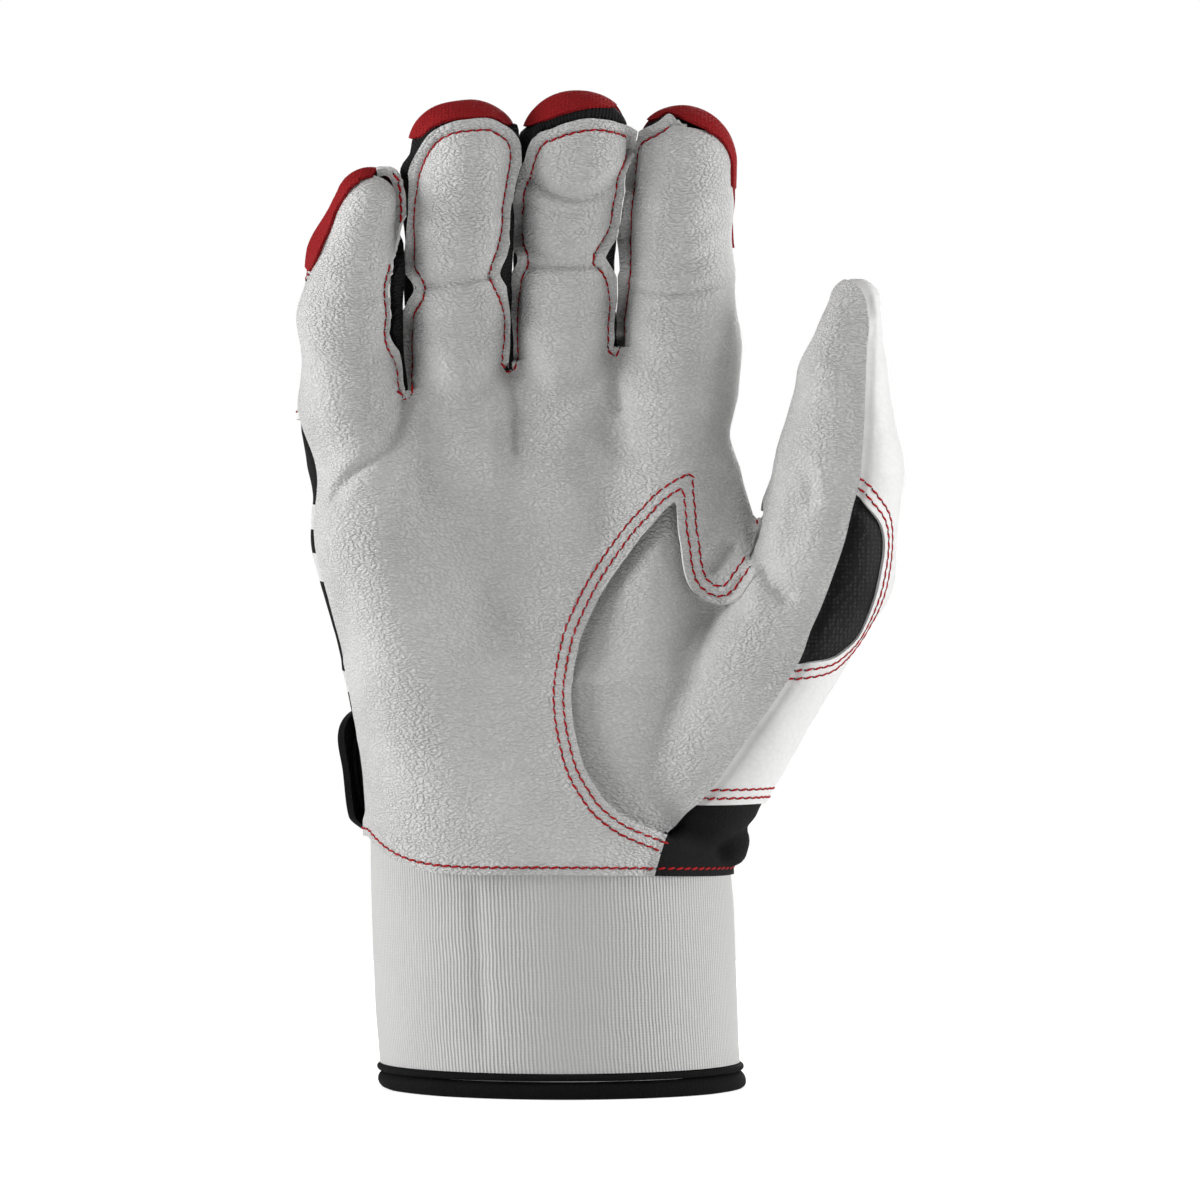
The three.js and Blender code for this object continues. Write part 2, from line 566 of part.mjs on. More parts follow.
// Panels on the back of the hand
const behind = not(thumbFront);
const yokeLow = CUFF_HEIGHT + 0.8 * PALM_LENGTH;
const yoke = (p) => p[2] - yokeLow - 0.2 * Math.abs(p[0]);
const backSplit = (p) => p[0] - piecewise([[CUFF_HEIGHT, 0.2 * CUFF_WIDTH], [yokeLow, 0.36 * CUFF_WIDTH]], p[2]);
const stretchCentre = CUFF_HEIGHT + 0.54 * PALM_LENGTH;
const stretchReach = [degrees(62), 0.19 * PALM_LENGTH];
const thumbStretch = (p) => (1 - Math.hypot((thumbTurn(p) - degrees(60)) / stretchReach[0],
  (p[2] - stretchCentre) / stretchReach[1])) * stretchReach[1];
const gussetTop = CUFF_HEIGHT + 0.12 * PALM_LENGTH;
const gusset = (p) => Math.min(gussetTop - p[2], backSplit(p));
panel("back_yoke", body, [behind, yoke, not(backSplit)], LEATHER, "back_leather");
panel("back_panel", body, [behind, not(yoke), not(backSplit)], STRETCH_FABRIC, "black_stretch");
panel("wrist_gusset", body, [behind, gusset], STRETCH_FABRIC, "black_stretch");
panel("thumb_side_panel", body, [behind, backSplit, not(gusset), not(thumbStretch)], LEATHER, "back_leather");
panel("thumb_stretch_panel", body, [behind, thumbStretch], STRETCH_FABRIC, "black_mesh");

// The bending end of the thumb
const thumbSheet = clip(bodySheet, (p) => onThumb(p) - JOINT_GAP / 2);
panel("thumb_front", thumbSheet, [thumbFront], LEATHER, "palm_leather");
panel("thumb_back", thumbSheet, [behind], LEATHER, "back_leather");

// The cuff and its hem
const CUFF_SIDES = 40;
const CUFF_ROWS = 5;
// A ring of the cuff's outline at one height, standing off from it by a distance.
function cuffRing(z, off, lift = () => 0) {
  return Array.from({ length: CUFF_SIDES }, (_, i) => {
    const turn = (2 * Math.PI * i) / CUFF_SIDES;
    const p = [cuffCentre(z) + (CUFF_WIDTH / 2 + off) * Math.cos(turn), (CUFF_DEPTH / 2 + off) * Math.sin(turn), z];
    return [p[0], p[1], z + lift(p)];
  });
}
// A closed band through rings that go up one side and down the other.
function band(rings) {
  const faces = [];
  rings.forEach((_, r) => {
    for (let i = 0; i < CUFF_SIDES; i += 1) {
      const j = (i + 1) % CUFF_SIDES;
      const [lower, upper] = [r * CUFF_SIDES, ((r + 1) % rings.length) * CUFF_SIDES];
      faces.push([lower + i, lower + j, upper + j], [lower + i, upper + j, upper + i]);
    }
  });
  return geometry(rings.flat(), faces);
}

const cuffLow = HEM_HEIGHT + PIPING_HEIGHT + 2 * SEAM_GAP;
function cuffTube() {
  const rows = Array.from({ length: CUFF_ROWS + 1 }, (_, i) => i / CUFF_ROWS);
  const height = (share) => mix(cuffLow, CUFF_HEIGHT - SEAM_GAP / 2, share);
  const lift = (share) => (p) => share * (cuffSeam(p) - CUFF_HEIGHT);
  return band([...rows.map((s) => cuffRing(height(s), 0, lift(s))),
    ...rows.reverse().map((s) => cuffRing(height(s), -CUFF_WALL, lift(s)))]);
}
place("cuff", cuffTube(), "cuff_knit");
const pipingLow = HEM_HEIGHT + SEAM_GAP;
place("hem_piping", band([
  cuffRing(pipingLow, PIPING_STAND_OFF), cuffRing(pipingLow + PIPING_HEIGHT, PIPING_STAND_OFF),
  cuffRing(pipingLow + PIPING_HEIGHT, -CUFF_WALL), cuffRing(pipingLow, -CUFF_WALL)]), "black_binding");
place("hem_binding", band([
  cuffRing(0, HEM_STAND_OFF - HEM_ROUND), cuffRing(HEM_ROUND / 2, HEM_STAND_OFF),
  cuffRing(HEM_HEIGHT, HEM_STAND_OFF), cuffRing(HEM_HEIGHT, -CUFF_WALL),
  cuffRing(0, -CUFF_WALL)]), "black_binding");

// The closure strap, in layers that lie over the back of the wrist
const strapMiddle = CUFF_HEIGHT + STRAP_ABOVE_CUFF + STRAP_HEIGHT / 2;
const strapRoot = STRAP_ROOT_SHARE * CUFF_WIDTH;
// Positive inside a rounded strap shape whose free end wraps round the little finger's side.
function strapShape(root, margin, reach = Infinity) {
  return (p) => {
    const halfHeight = STRAP_HEIGHT / 2 - margin;
    const corner = Math.max(STRAP_CORNER - margin, margin);
    const free = p[0] < 0 ? p[1] + STRAP_WRAP - margin : STRAP_CORNER + p[1];
    const fromEnd = Math.min(free, p[0] < 0 ? Infinity : root - p[0] + STRAP_CORNER);
    const past = Math.max(0, corner - fromEnd);
    const high = Math.max(0, Math.abs(p[2] - strapMiddle) - (halfHeight - corner));
    const end = corner - Math.hypot(past, high);
    return Math.min(end, halfHeight - Math.abs(p[2] - strapMiddle), root - p[0], reach - (root - p[0]));
  };
}
const loopHeight = LAYER_GAP;
const hookHeight = loopHeight + PATCH_THICKNESS + LAYER_GAP;
const strapHeight = hookHeight + PATCH_THICKNESS + LAYER_GAP;
const badgeHeight = strapHeight + STRAP_THICKNESS + LAYER_GAP;
const beyondAnchor = strapRoot + 2 * ANCHOR_LENGTH;
const overWrist = (p) => Math.min(STRAP_HEIGHT - Math.abs(p[2] - strapMiddle), beyondAnchor - p[0]);
const strapSheet = clip(bodySheet, overWrist);
const farSide = (p) => -CUFF_WIDTH / 8 - p[0];
const tape = strapShape(strapRoot, PATCH_MARGIN);
panel("loop_patch", strapSheet, [strapShape(strapRoot - STRAP_CORNER, PATCH_MARGIN)], PATCH_THICKNESS,
  "strap_webbing", loopHeight);
panel("hook_patch", strapSheet, [tape, farSide], PATCH_THICKNESS, "strap_webbing", hookHeight);
panel("closure_strap", strapSheet, [strapShape(strapRoot, 0)], STRAP_THICKNESS, "strap_webbing", strapHeight);
const anchorShape = (p) => Math.min(p[0] - strapRoot, strapRoot + ANCHOR_LENGTH - p[0], p[1],
  STRAP_HEIGHT / 2 - Math.abs(p[2] - strapMiddle));
const anchorThickness = strapHeight + STRAP_THICKNESS - LAYER_GAP;
panel("strap_anchor", strapSheet, [anchorShape], anchorThickness, "strap_webbing", LAYER_GAP);
const badgeShape = (p) => Math.min(STRAP_HEIGHT / 2 - PATCH_MARGIN - Math.abs(p[2] - strapMiddle),
  BADGE_LENGTH / 2 - Math.abs(p[0] + BADGE_LENGTH / 4), p[1]);
panel("strap_badge", strapSheet, [badgeShape], PATCH_THICKNESS, "badge_rubber", badgeHeight);

export default glove;
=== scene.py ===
"""A right-hand batting glove in its worn shape.

It has a goatskin palm, stretch side panels, a knit cuff and a closure strap. Lengths are millimetres until a
mesh is made, and metres in the meshes. +X is towards the thumb, -Y towards the viewer of the palm, and +Z up
the hand from the hem. Seams that show on the palm side are listed as they are seen in a 1200 x 1200 picture
taken by the camera below.
"""
import math

import bpy
import numpy as np
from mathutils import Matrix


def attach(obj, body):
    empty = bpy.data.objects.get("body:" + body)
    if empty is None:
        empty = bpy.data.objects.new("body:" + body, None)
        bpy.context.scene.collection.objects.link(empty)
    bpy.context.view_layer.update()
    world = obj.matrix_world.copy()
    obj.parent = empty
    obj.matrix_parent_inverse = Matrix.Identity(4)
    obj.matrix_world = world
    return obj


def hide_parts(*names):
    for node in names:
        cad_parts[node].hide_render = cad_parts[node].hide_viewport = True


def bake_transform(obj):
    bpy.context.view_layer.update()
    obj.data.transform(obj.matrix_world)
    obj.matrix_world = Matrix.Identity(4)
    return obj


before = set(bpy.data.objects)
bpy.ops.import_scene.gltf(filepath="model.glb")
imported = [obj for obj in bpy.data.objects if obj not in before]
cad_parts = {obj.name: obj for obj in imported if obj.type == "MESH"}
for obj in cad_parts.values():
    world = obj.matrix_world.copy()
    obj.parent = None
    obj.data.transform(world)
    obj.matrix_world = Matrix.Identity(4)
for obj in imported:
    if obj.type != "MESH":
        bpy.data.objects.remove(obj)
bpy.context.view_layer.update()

MM = 0.001

# Sizes of the hand and the glove, the same as the solids'.
CUFF_WIDTH, CUFF_DEPTH, CUFF_HEIGHT, CUFF_SHIFT = 82, 55, 52, 3.3
PALM_BREADTH, PALM_LENGTH, PALM_DEPTH = 104, 110, 31
THUMB_SPREAD, THUMB_WIDTH, THUMB_LENGTH = 62, 31, 37
LEATHER, STRETCH_FABRIC, CUFF_WALL = 0.9, 0.8, 2.2
JOINT_GAP, LAYER_GAP = 0.5, 0.45
HEM_HEIGHT, HEM_STAND_OFF, HEM_ROUND = 3.9, 0.9, 1.6
PIPING_HEIGHT, PIPING_STAND_OFF, SEAM_GAP = 1.4, 0.5, 0.3
STRAP_HEIGHT, STRAP_THICKNESS, STRAP_LOW = 30, 1.5, CUFF_HEIGHT + 5
STRAP_ROOT, STRAP_WRAP, STRAP_CORNER = 0.244 * CUFF_WIDTH, 1, 14.5
PATCH_THICKNESS, PATCH_MARGIN, ANCHOR_LENGTH, BADGE_LENGTH = 0.8, 3.5, 12, 34
SOFTNESS = 0.11 * PALM_BREADTH
CREASE = 0.015 * PALM_BREADTH
CELL = 1.0  # spacing of the skin's vertices

# Each finger's three bones from the knuckle out: their lengths, and how many degrees each leans towards the
# thumb and bends forward. The radii at their ends are shares of half the width. The knuckle is placed by
# shares of the palm's breadth and length, and the wrist end of its bone by a share of the cuff's width. Roll
# turns the seams round the finger, and outer is the side without a neighbour.
# Of a pair, the first number is for the little finger's side and the second for the thumb's: by how much the
# side fabric shows beyond the margin, how many radii past the tip the cap folds over, and what share of the
# gap the fabric fills. The cap is a share of the finger's length, and lift is how far the tip's fabric stands
# out.
FINGERS = {
    "pinky": dict(
        width=23.2, lengths=(22.5, 15, 15), lean=(-3.4, 10, 16), flex=(28, 27, 34), roll=8, outer=-1,
        knuckle=(-0.458, 0.932), wrist=-0.3, radii=(1, 0.96, 0.86, 0.58),
        strip=(-2.6, 1.5), over=(-2.5, 3), cap=0.36, fill=(0, 1), lift=0),
    "ring": dict(
        width=23.6, lengths=(21.5, 20.5, 13.5), lean=(1.7, 2.3, 8), flex=(28, 27, 36), roll=3, outer=0,
        knuckle=(-0.231, 0.995), wrist=-0.237, radii=(1, 0.96, 1.02, 0.96),
        strip=(0.8, 0.3), over=(-1.5, 0.7), cap=0.5, fill=(1, 1), lift=1.5),
    "middle": dict(
        width=24, lengths=(20.5, 19.5, 11), lean=(2, 2.4, 15), flex=(28, 27, 38), roll=2, outer=0,
        knuckle=(-0.004, 1.05), wrist=-0.04, radii=(1, 0.945, 1, 0.99),
        strip=(2.2, 3), over=(-0.5, 0.8), cap=0.5, fill=(1, 0.2), lift=0.5),
    "index": dict(
        width=26, lengths=(18, 16.4, 11.5), lean=(0, 0, 3), flex=(27, 26, 34), roll=2, outer=1,
        knuckle=(0.248, 1.059), wrist=0.152, radii=(1, 0.95, 0.9, 0.88),
        strip=(1.2, -2.6), over=(0.6, 0), cap=0.5, fill=(0, 0), lift=0),
}
# Shares of a finger's radius: the white back's half width, and how far back the seam at an outer side lies,
# in front of the widest line and then behind it.
BACK_SEAM_SHARE = 0.82
OUTER_SEAM_SHARE = -0.2
WRAPPED_SEAM_SHARE = 0.3

# The camera, and where it sees a point.
PICTURE = 1200  # pixels each way
CAMERA_PLACE = np.array([8.0, -1000.0, 111.0])
FOCAL_PIXELS = 4386
SENSOR = 36  # millimetres

# The line of stitches that joins the palm leather's finger fronts to the side panels, up one finger and down
# the next from the little finger to the forefinger, with the U of each crotch.
FRONT_STITCHES = [
    (392, 172), (396, 177), (399, 185), (400, 195), (401, 210), (400, 222), (396, 245), (389, 267),
    (385, 280), (384, 292), (385, 305), (386, 317), (384, 330), (386, 345), (391, 355), (395, 362),
    (397, 372), (398, 387), (401, 396), (406, 400), (410, 397), (412, 390), (410, 382), (409, 370),
    (409, 350), (410, 332), (411, 320), (415, 312), (419, 306), (423, 299), (425, 291), (424, 283),
    (420, 275), (413, 265), (413, 252), (414, 240), (413, 230), (414, 215), (415, 202), (417, 190),
    (419, 177), (423, 165), (428, 154), (437, 142), (446, 136), (458, 132), (467, 131), (480, 130),
    (490, 130), (497, 134), (505, 139), (509, 145), (510, 152), (510, 162), (508, 172), (506, 185),
    (504, 197), (502, 210), (502, 225), (500, 237), (497, 250), (492, 262), (489, 273), (491, 282),
    (496, 291), (500, 301), (503, 310), (505, 320), (504, 332), (504, 342), (502, 352), (502, 364),
    (505, 371), (510, 370), (515, 367), (517, 359), (518, 352), (517, 340), (517, 325), (517, 312),
    (517, 300), (518, 292), (520, 282), (525, 272), (528, 265), (528, 255), (525, 247), (520, 240),
    (518, 230), (519, 215), (522, 202), (525, 190), (530, 177), (534, 165), (537, 155), (541, 147),
    (546, 142), (555, 139), (565, 135), (577, 132), (590, 130), (600, 130), (612, 132), (622, 135),
    (629, 139), (631, 144), (629, 152), (624, 162), (620, 172), (617, 181), (617, 190), (614, 200),
    (612, 210), (611, 222), (607, 232), (601, 242), (595, 252), (593, 262), (600, 270), (606, 280),
    (609, 295), (610, 305), (609, 315), (608, 325), (608, 337), (608, 347), (610, 354), (614, 356),
    (617, 354), (620, 347), (622, 338), (621, 327), (622, 315), (624, 305), (626, 295), (628, 282),
    (631, 272), (630, 260), (629, 250), (628, 235), (630, 220), (632, 202), (633, 190), (632, 177),
    (635, 165), (637, 150), (641, 144), (647, 140), (657, 135), (665, 130), (672, 124),
]
CROTCHES = [(406, 400), (507, 371), (615, 356)]
# From there the leather's edge lies folded against the red tips, and runs on round the hand's outer sides.
INDEX_TIP_EDGE = [(685, 126), (700, 129), (712, 132), (722, 138), (730, 146), (737, 155)]
PINKY_TIP_EDGE = [(307, 275), (312, 265), (317, 255), (322, 242), (329, 227), (334, 212), (341, 200),
                  (350, 187), (360, 180), (372, 173), (385, 169)]
ROUND_THE_HAND = [(780, 158), (960, 158), (960, 960), (240, 960), (240, 276)]
# The outer of the two rows of stitches round the thumb's pad, from the wrist up to the point beside the
# forefinger, and from there round the web and up between the forefinger and thumb.
PAD_STITCHES = [(661, 851), (640, 843), (620, 834), (604, 823), (590, 810), (580, 795), (572, 782),
                (565, 765), (560, 745), (556, 725), (554, 705), (554, 688), (556, 670), (560, 650),
                (565, 630), (575, 607), (586, 585), (600, 562), (612, 545), (627, 525), (642, 509),
                (655, 495), (670, 484), (680, 478), (693, 473)]
WEB_STITCHES = [(693, 473), (693, 490), (695, 510), (696, 527), (699, 545), (701, 562), (705, 577),
                (712, 584), (719, 587), (726, 584), (732, 576), (739, 566), (745, 557), (750, 545),
                (755, 530), (759, 512), (760, 480)]
BEYOND_THE_PAD = [(760, 300), (1000, 300), (1000, 900), (661, 900)]
# The thumb leather's edge, from the wrist up to the tip.
THUMB_EDGE = [(652, 884), (659, 860), (667, 835), (675, 827), (687, 813), (702, 800), (722, 775),
              (752, 732), (775, 700), (800, 660), (810, 632), (822, 605), (835, 570), (845, 540),
              (852, 510), (857, 492), (860, 477), (862, 455), (864, 425), (865, 395), (866, 370),
              (867, 345), (869, 327), (867, 307), (865, 298), (860, 288), (852, 281), (840, 275),
              (838, 240)]
MESH_OUTLINE = [(770, 664), (800, 664), (830, 660), (844, 652), (856, 641), (864, 628), (872, 609),
                (878, 590), (882, 570), (885, 550), (884, 533), (879, 520), (868, 507), (856, 494),
                (830, 480)]

# More places in that picture, across or down it, and the pixels over which something fades there.
FRONT_SEAM_SPAN = (383.5, 671)  # between these the finger fronts' seam is a row of stitches
BARE_SEAM = (409, 246, 21)  # left of this the little finger's seam is hidden, this far up and down from there
LITTLE_WRAP_SPAN = (173, 224)  # down the little finger's side, where its leather wraps round it
LITTLE_TIP_LOW, LITTLE_TIP_FADE = 222, 8  # above this its fabric lies flat
TIP_LIFT_LOW, TIP_LIFT_FADE = 190, 14  # above this the tips' fabric stands out
FOREFINGER_TURN, FOREFINGER_FADE = 684, 16  # right of this the forefinger's seam leaves the front
WEB_LEFT, WEB_LEFT_FADE = 736, 14  # the web between forefinger and thumb
WEB_LOW, WEB_LOW_FADE = 575, 20
WEB_HIGH, WEB_HIGH_FADE = 474, 36
PAD_ROW_END, PAD_ROW_FADE = 760, 60  # right of this the pad's leather is in one piece with the thumb's
PAD_ROW_LOW, WEB_ROW_LOW = 856, 522  # where the pad's double row ends at the wrist, and at the web
CUFF_CREASE, CUFF_CREASE_LEAN, CUFF_CREASE_WIDTH = (478, 950), 0.06, 9
# Down the picture beside the little finger: its margin as a share of the others'.
LITTLE_MARGIN_SHARES = [(166, 0), (174, 0.36), (216, 0.36), (226, 0), (262, 0), (271, 0.36), (330, 0.4),
                        (368, 1)]

# Marks of the cuts whose points are found again later.
FRONT_EDGE, MESH_EDGE, THREAD = 1, 2, 4


def mix(a, b, share):
    """From a to b."""
    return a + (b - a) * share


def to_nearest(p, places):
    """Distance from each point to the nearest of some places."""
    parts = np.array_split(p, len(p) // 400 + 1)
    return np.concatenate([np.sqrt(((part[:, None] - places) ** 2).sum(2).min(1)) for part in parts])


def smooth(share):
    """From 0 to 1, with a soft start and end."""
    held = np.clip(share, 0, 1)
    return held * held * (3 - 2 * held)


def least(a, b, k):
    """The lesser of two distances, rounded over where they come within k of each other."""
    near = np.maximum(k - np.abs(a - b), 0) / k
    return np.minimum(a, b) - near * near * k / 4


def most(a, b, k):
    """The greater of two distances, rounded over in the same way."""
    return -least(-a, -b, k)


def unit(v):
    return v / np.linalg.norm(v, axis=-1, keepdims=True)


def on_line(pairs, place):
    """The value at a place, between listed pairs of place and value."""
    places, values = np.array(pairs, float).T
    return np.interp(place, places, values)


# The hand inside the glove, as tapered bones.
def bone(a, b, ra, rb, depth=1.0):
    return np.array(a, float), np.array(b, float), ra, rb, depth


def to_bone(p, one):
    """Distance to a tapered bone whose section is as deep as depth times its width."""
    a, b, ra, rb, depth = one
    shape = np.array([1, 1 / depth, 1])
    q, v = (p - a) * shape, (b - a) * shape
    along = np.clip(q @ v / (v @ v), 0, 1)
    return np.linalg.norm(q - along[:, None] * v, axis=1) - mix(ra, rb, along)


def to_bones(bones, k):
    """The skin round several bones, as a distance that is zero on it."""
    def distance(p):
        total = to_bone(p, bones[0])
        for one in bones[1:]:
            total = least(total, to_bone(p, one), k)
        return total
    return distance


def finger_chain(finger):
    """A finger with the points of its bones and their radii."""
    across, up = finger["knuckle"]
    points = [np.array([across * PALM_BREADTH, -0.06 * PALM_DEPTH, CUFF_HEIGHT + up * PALM_LENGTH])]
    for length, lean, flex in zip(finger["lengths"], finger["lean"], finger["flex"]):
        lean, flex = math.radians(lean), math.radians(flex)
        way = np.array([math.sin(lean) * math.cos(flex), -math.sin(flex), math.cos(lean) * math.cos(flex)])
        points.append(points[-1] + length * way)
    radii = np.array(finger["radii"]) * finger["width"] / 2
    return dict(finger, points=points, radii=radii, length=sum(finger["lengths"]))


CHAINS = {name: finger_chain(finger) for name, finger in FINGERS.items()}


def bones_through(points, radii, depth=1.0):
    """A bone from each point to the next."""
    return [bone(points[i], points[i + 1], radii[i], radii[i + 1], depth) for i in range(len(points) - 1)]


def finger_bones(chain):
    points, radii = chain["points"], chain["radii"]
    start = points[0] - 0.5 * (points[1] - points[0])
    return bones_through([start, *points], [radii[0], *radii], 0.96)


wrist_bones = [bone((chain["wrist"] * CUFF_WIDTH, 0, CUFF_HEIGHT), chain["points"][0], 0.16 * CUFF_WIDTH,
                    chain["radii"][0], PALM_DEPTH / FINGERS["ring"]["width"]) for chain in CHAINS.values()]
thumb_root = (0.372 * CUFF_WIDTH, -0.24 * PALM_DEPTH, CUFF_HEIGHT + 0.17 * PALM_LENGTH)
thumb_knuckle = (0.94 * THUMB_SPREAD, -0.25 * PALM_DEPTH, CUFF_HEIGHT + 0.61 * PALM_LENGTH)
thumb_middle = np.array([THUMB_SPREAD, -0.36 * PALM_DEPTH, CUFF_HEIGHT + 0.81 * PALM_LENGTH])
thumb_up = unit(np.array([0.09, -0.13, 1]))
thumb_pad = thumb_middle + 0.55 * THUMB_LENGTH * thumb_up - np.array([0.035 * THUMB_WIDTH, 0, 0])
thumb_points = [thumb_root, thumb_knuckle, thumb_middle, thumb_pad, thumb_middle + THUMB_LENGTH * thumb_up]
thumb_radii = np.array([1, 1.05, 0.94, 0.66, 0.38]) * THUMB_WIDTH / 2
thumb_bones = bones_through(thumb_points, thumb_radii)
heel_pad = bone((-0.26 * CUFF_WIDTH, -0.2 * PALM_DEPTH, CUFF_HEIGHT + 0.08 * PALM_LENGTH),
                (-0.415 * PALM_BREADTH, -0.12 * PALM_DEPTH, CUFF_HEIGHT + 0.66 * PALM_LENGTH),
                0.12 * PALM_BREADTH, 0.125 * PALM_BREADTH)
web = bone((0.3 * PALM_BREADTH, -0.08 * PALM_DEPTH, CUFF_HEIGHT + 0.75 * PALM_LENGTH),
           (0.38 * PALM_BREADTH, -0.2 * PALM_DEPTH, CUFF_HEIGHT + 0.58 * PALM_LENGTH),
           0.085 * PALM_BREADTH, 0.085 * PALM_BREADTH)
gusset_fold = bone((0.45 * CUFF_WIDTH, -0.1 * CUFF_DEPTH, CUFF_HEIGHT + 0.04 * PALM_LENGTH),
                   (0.4 * CUFF_WIDTH, 0.1 * CUFF_DEPTH, CUFF_HEIGHT + 0.05 * PALM_LENGTH),
                   0.062 * CUFF_WIDTH, 0.062 * CUFF_WIDTH)


def cuff_centre(z):
    """The cuff's middle moves to the little finger's side as it goes up."""
    return -CUFF_SHIFT * np.sqrt(np.clip(z / CUFF_HEIGHT, 0, 1))


def to_wrist(p):
    """The wrist is the cuff's ellipse, which narrows up into the palm."""
    top = CUFF_HEIGHT + 0.34 * PALM_LENGTH
    low = CUFF_HEIGHT - 0.05 * PALM_LENGTH
    up = smooth((p[:, 2] - low) / (top - low))
    a, b = mix(1, 0.86, up) * CUFF_WIDTH / 2, mix(1, 0.66, up) * CUFF_DEPTH / 2
    around = (np.hypot((p[:, 0] - cuff_centre(p[:, 2])) / a, p[:, 1] / b) - 1) * b
    return np.maximum(around, p[:, 2] - top)


finger_skins = {name: to_bones(finger_bones(chain), CREASE) for name, chain in CHAINS.items()}
palm_skin = to_bones([*wrist_bones, heel_pad, web], SOFTNESS)
thumb_skin = to_bones(thumb_bones, CREASE)


def hand_skin(p):
    fingers = np.min([skin(p) for skin in finger_skins.values()], axis=0)
    hand = least(least(palm_skin(p), fingers, SOFTNESS / 2), to_wrist(p), SOFTNESS)
    return least(least(hand, thumb_skin(p), SOFTNESS / 4), to_bone(p, gusset_fold), CREASE)


FINGER_PARTS = 9  # above the knuckles, where a finger's skin has become its own
KNUCKLE_LINE = [(c["points"][0][0], c["points"][0][2]) for c in CHAINS.values()]


def above_knuckles(p):
    """Positive on the fingers."""
    return p[:, 2] - on_line(KNUCKLE_LINE, p[:, 0])


def finger_skin(name):
    """One finger's skin: the hand's own at the knuckles, and clear of its neighbours above them."""
    def distance(p):
        own = finger_skins[name](p)
        others = np.min([skin(p) for other, skin in finger_skins.items() if other != name], axis=0)
        alone = least(palm_skin(p), own, SOFTNESS / 2)
        base = mix(hand_skin(p), alone, smooth(above_knuckles(p) / FINGER_PARTS))
        return most(base, (own - others) / 2 + JOINT_GAP / 2, 2 * CREASE)
    return distance


def in_finger(chain, p):
    """Where points are in a finger's own frame: along its bones, beyond its tip, to the side, towards the
    back, and how far along in millimetres."""
    best = None
    start = 0
    for i, length in enumerate(chain["lengths"]):
        a, b = chain["points"][i], chain["points"][i + 1]
        way = (b - a) / length
        reach = (p - a) @ way
        held = np.clip(reach, 0, length)
        off = p - a - held[:, None] * way
        side = unit(np.array([1, 0, 0]) - way[0] * way)
        aside, behind = off @ side, off @ np.cross(way, side)
        turn = math.radians(chain["roll"])
        beyond = np.maximum(reach - held, 0) if i == len(chain["lengths"]) - 1 else 0 * reach
        rows = np.stack([np.linalg.norm(off, axis=1), i + held / length, beyond,
                         aside * math.cos(turn) - behind * math.sin(turn),
                         aside * math.sin(turn) + behind * math.cos(turn), start + held], 1)
        best = rows if best is None else np.where((rows[:, 0] < best[:, 0] - 1e-9)[:, None], rows, best)
        start += length
    return best.T[1:]


def outer_seam_depth(chain, run, side, radius):
    """How deep the seam lies at a finger's outer side. The forefinger's goes behind its widest line below the
    tip."""
    wrapped = smooth((chain["length"] - 4 - run) / 5) * max(chain["outer"], 0)
    share = mix(OUTER_SEAM_SHARE, WRAPPED_SEAM_SHARE, wrapped)
    return smooth(side * chain["outer"] / (0.6 * radius)) * share * radius


# What the camera sees.
def seen(p):
    """Pixels across and down at which the camera sees points."""
    scale = FOCAL_PIXELS / (p[:, 1] - CAMERA_PLACE[1])
    return np.stack([PICTURE / 2 + (p[:, 0] - CAMERA_PLACE[0]) * scale,
                     PICTURE / 2 - (p[:, 2] - CAMERA_PLACE[2]) * scale], 1)


PIXEL = (-24 - CAMERA_PLACE[1]) / FOCAL_PIXELS  # millimetres on the palm that one pixel shows


def flowing(points, steps=3):
    """A smooth run through listed points."""
    p = np.array(points, float)
    ends = np.concatenate([[2 * p[0] - p[1]], p, [2 * p[-1] - p[-2]]])
    a, b, c, d = ends[:-3], ends[1:-2], ends[2:-1], ends[3:]
    rows = []
    for t in np.arange(steps) / steps:
        rows.append(0.5 * (2 * b + (c - a) * t + (2 * a - 5 * b + 4 * c - d) * t ** 2
                           + (3 * b - a - 3 * c + d) * t ** 3))
    return np.concatenate([np.stack(rows, 1).reshape(-1, 2), p[-1:]])


def to_run(q, run):
    """Distance from seen points to an open run of seen points, in millimetres."""
    nearest = np.full(len(q), np.inf)
    for a, b in zip(run[:-1], run[1:]):
        v = b - a
        along = np.clip(((q - a) @ v) / max(v @ v, 1e-9), 0, 1)
        nearest = np.minimum(nearest, np.hypot(*(q - a - along[:, None] * v).T))
    return nearest * PIXEL


def inside_outline(q, outline):
    """Distance inside a closed outline of seen points, in millimetres, negative outside it."""
    closed = np.concatenate([outline, outline[:1]])
    inside = np.zeros(len(q), bool)
    for a, b in zip(closed[:-1], closed[1:]):
        across = (a[1] > q[:, 1]) != (b[1] > q[:, 1])
        if across.any():
            inside ^= across & (q[:, 0] < a[0] + (q[:, 1] - a[1]) * (b[0] - a[0]) / (b[1] - a[1]))
    return np.where(inside, 1, -1) * to_run(q, closed)


front_stitches = flowing(FRONT_STITCHES)
crotch_places = [np.hypot(*(front_stitches - crotch).T).argmin() for crotch in CROTCHES]
finger_runs = dict(zip(FINGERS, np.split(front_stitches, crotch_places)))
front_outline = np.concatenate([front_stitches, flowing(INDEX_TIP_EDGE), ROUND_THE_HAND,
                                flowing(PINKY_TIP_EDGE)])
pad_outline = np.concatenate([flowing(PAD_STITCHES), flowing(WEB_STITCHES)[1:], BEYOND_THE_PAD])
thumb_edge = flowing(THUMB_EDGE)
mesh_outline = flowing(MESH_OUTLINE)


def front_leather(p):
    """Distance inside the seam round the leather of the palm and finger fronts."""
    return inside_outline(seen(p), front_outline)


def pad(p):
    """Distance inside the outer row of stitches round the thumb's pad."""
    return inside_outline(seen(p), pad_outline)


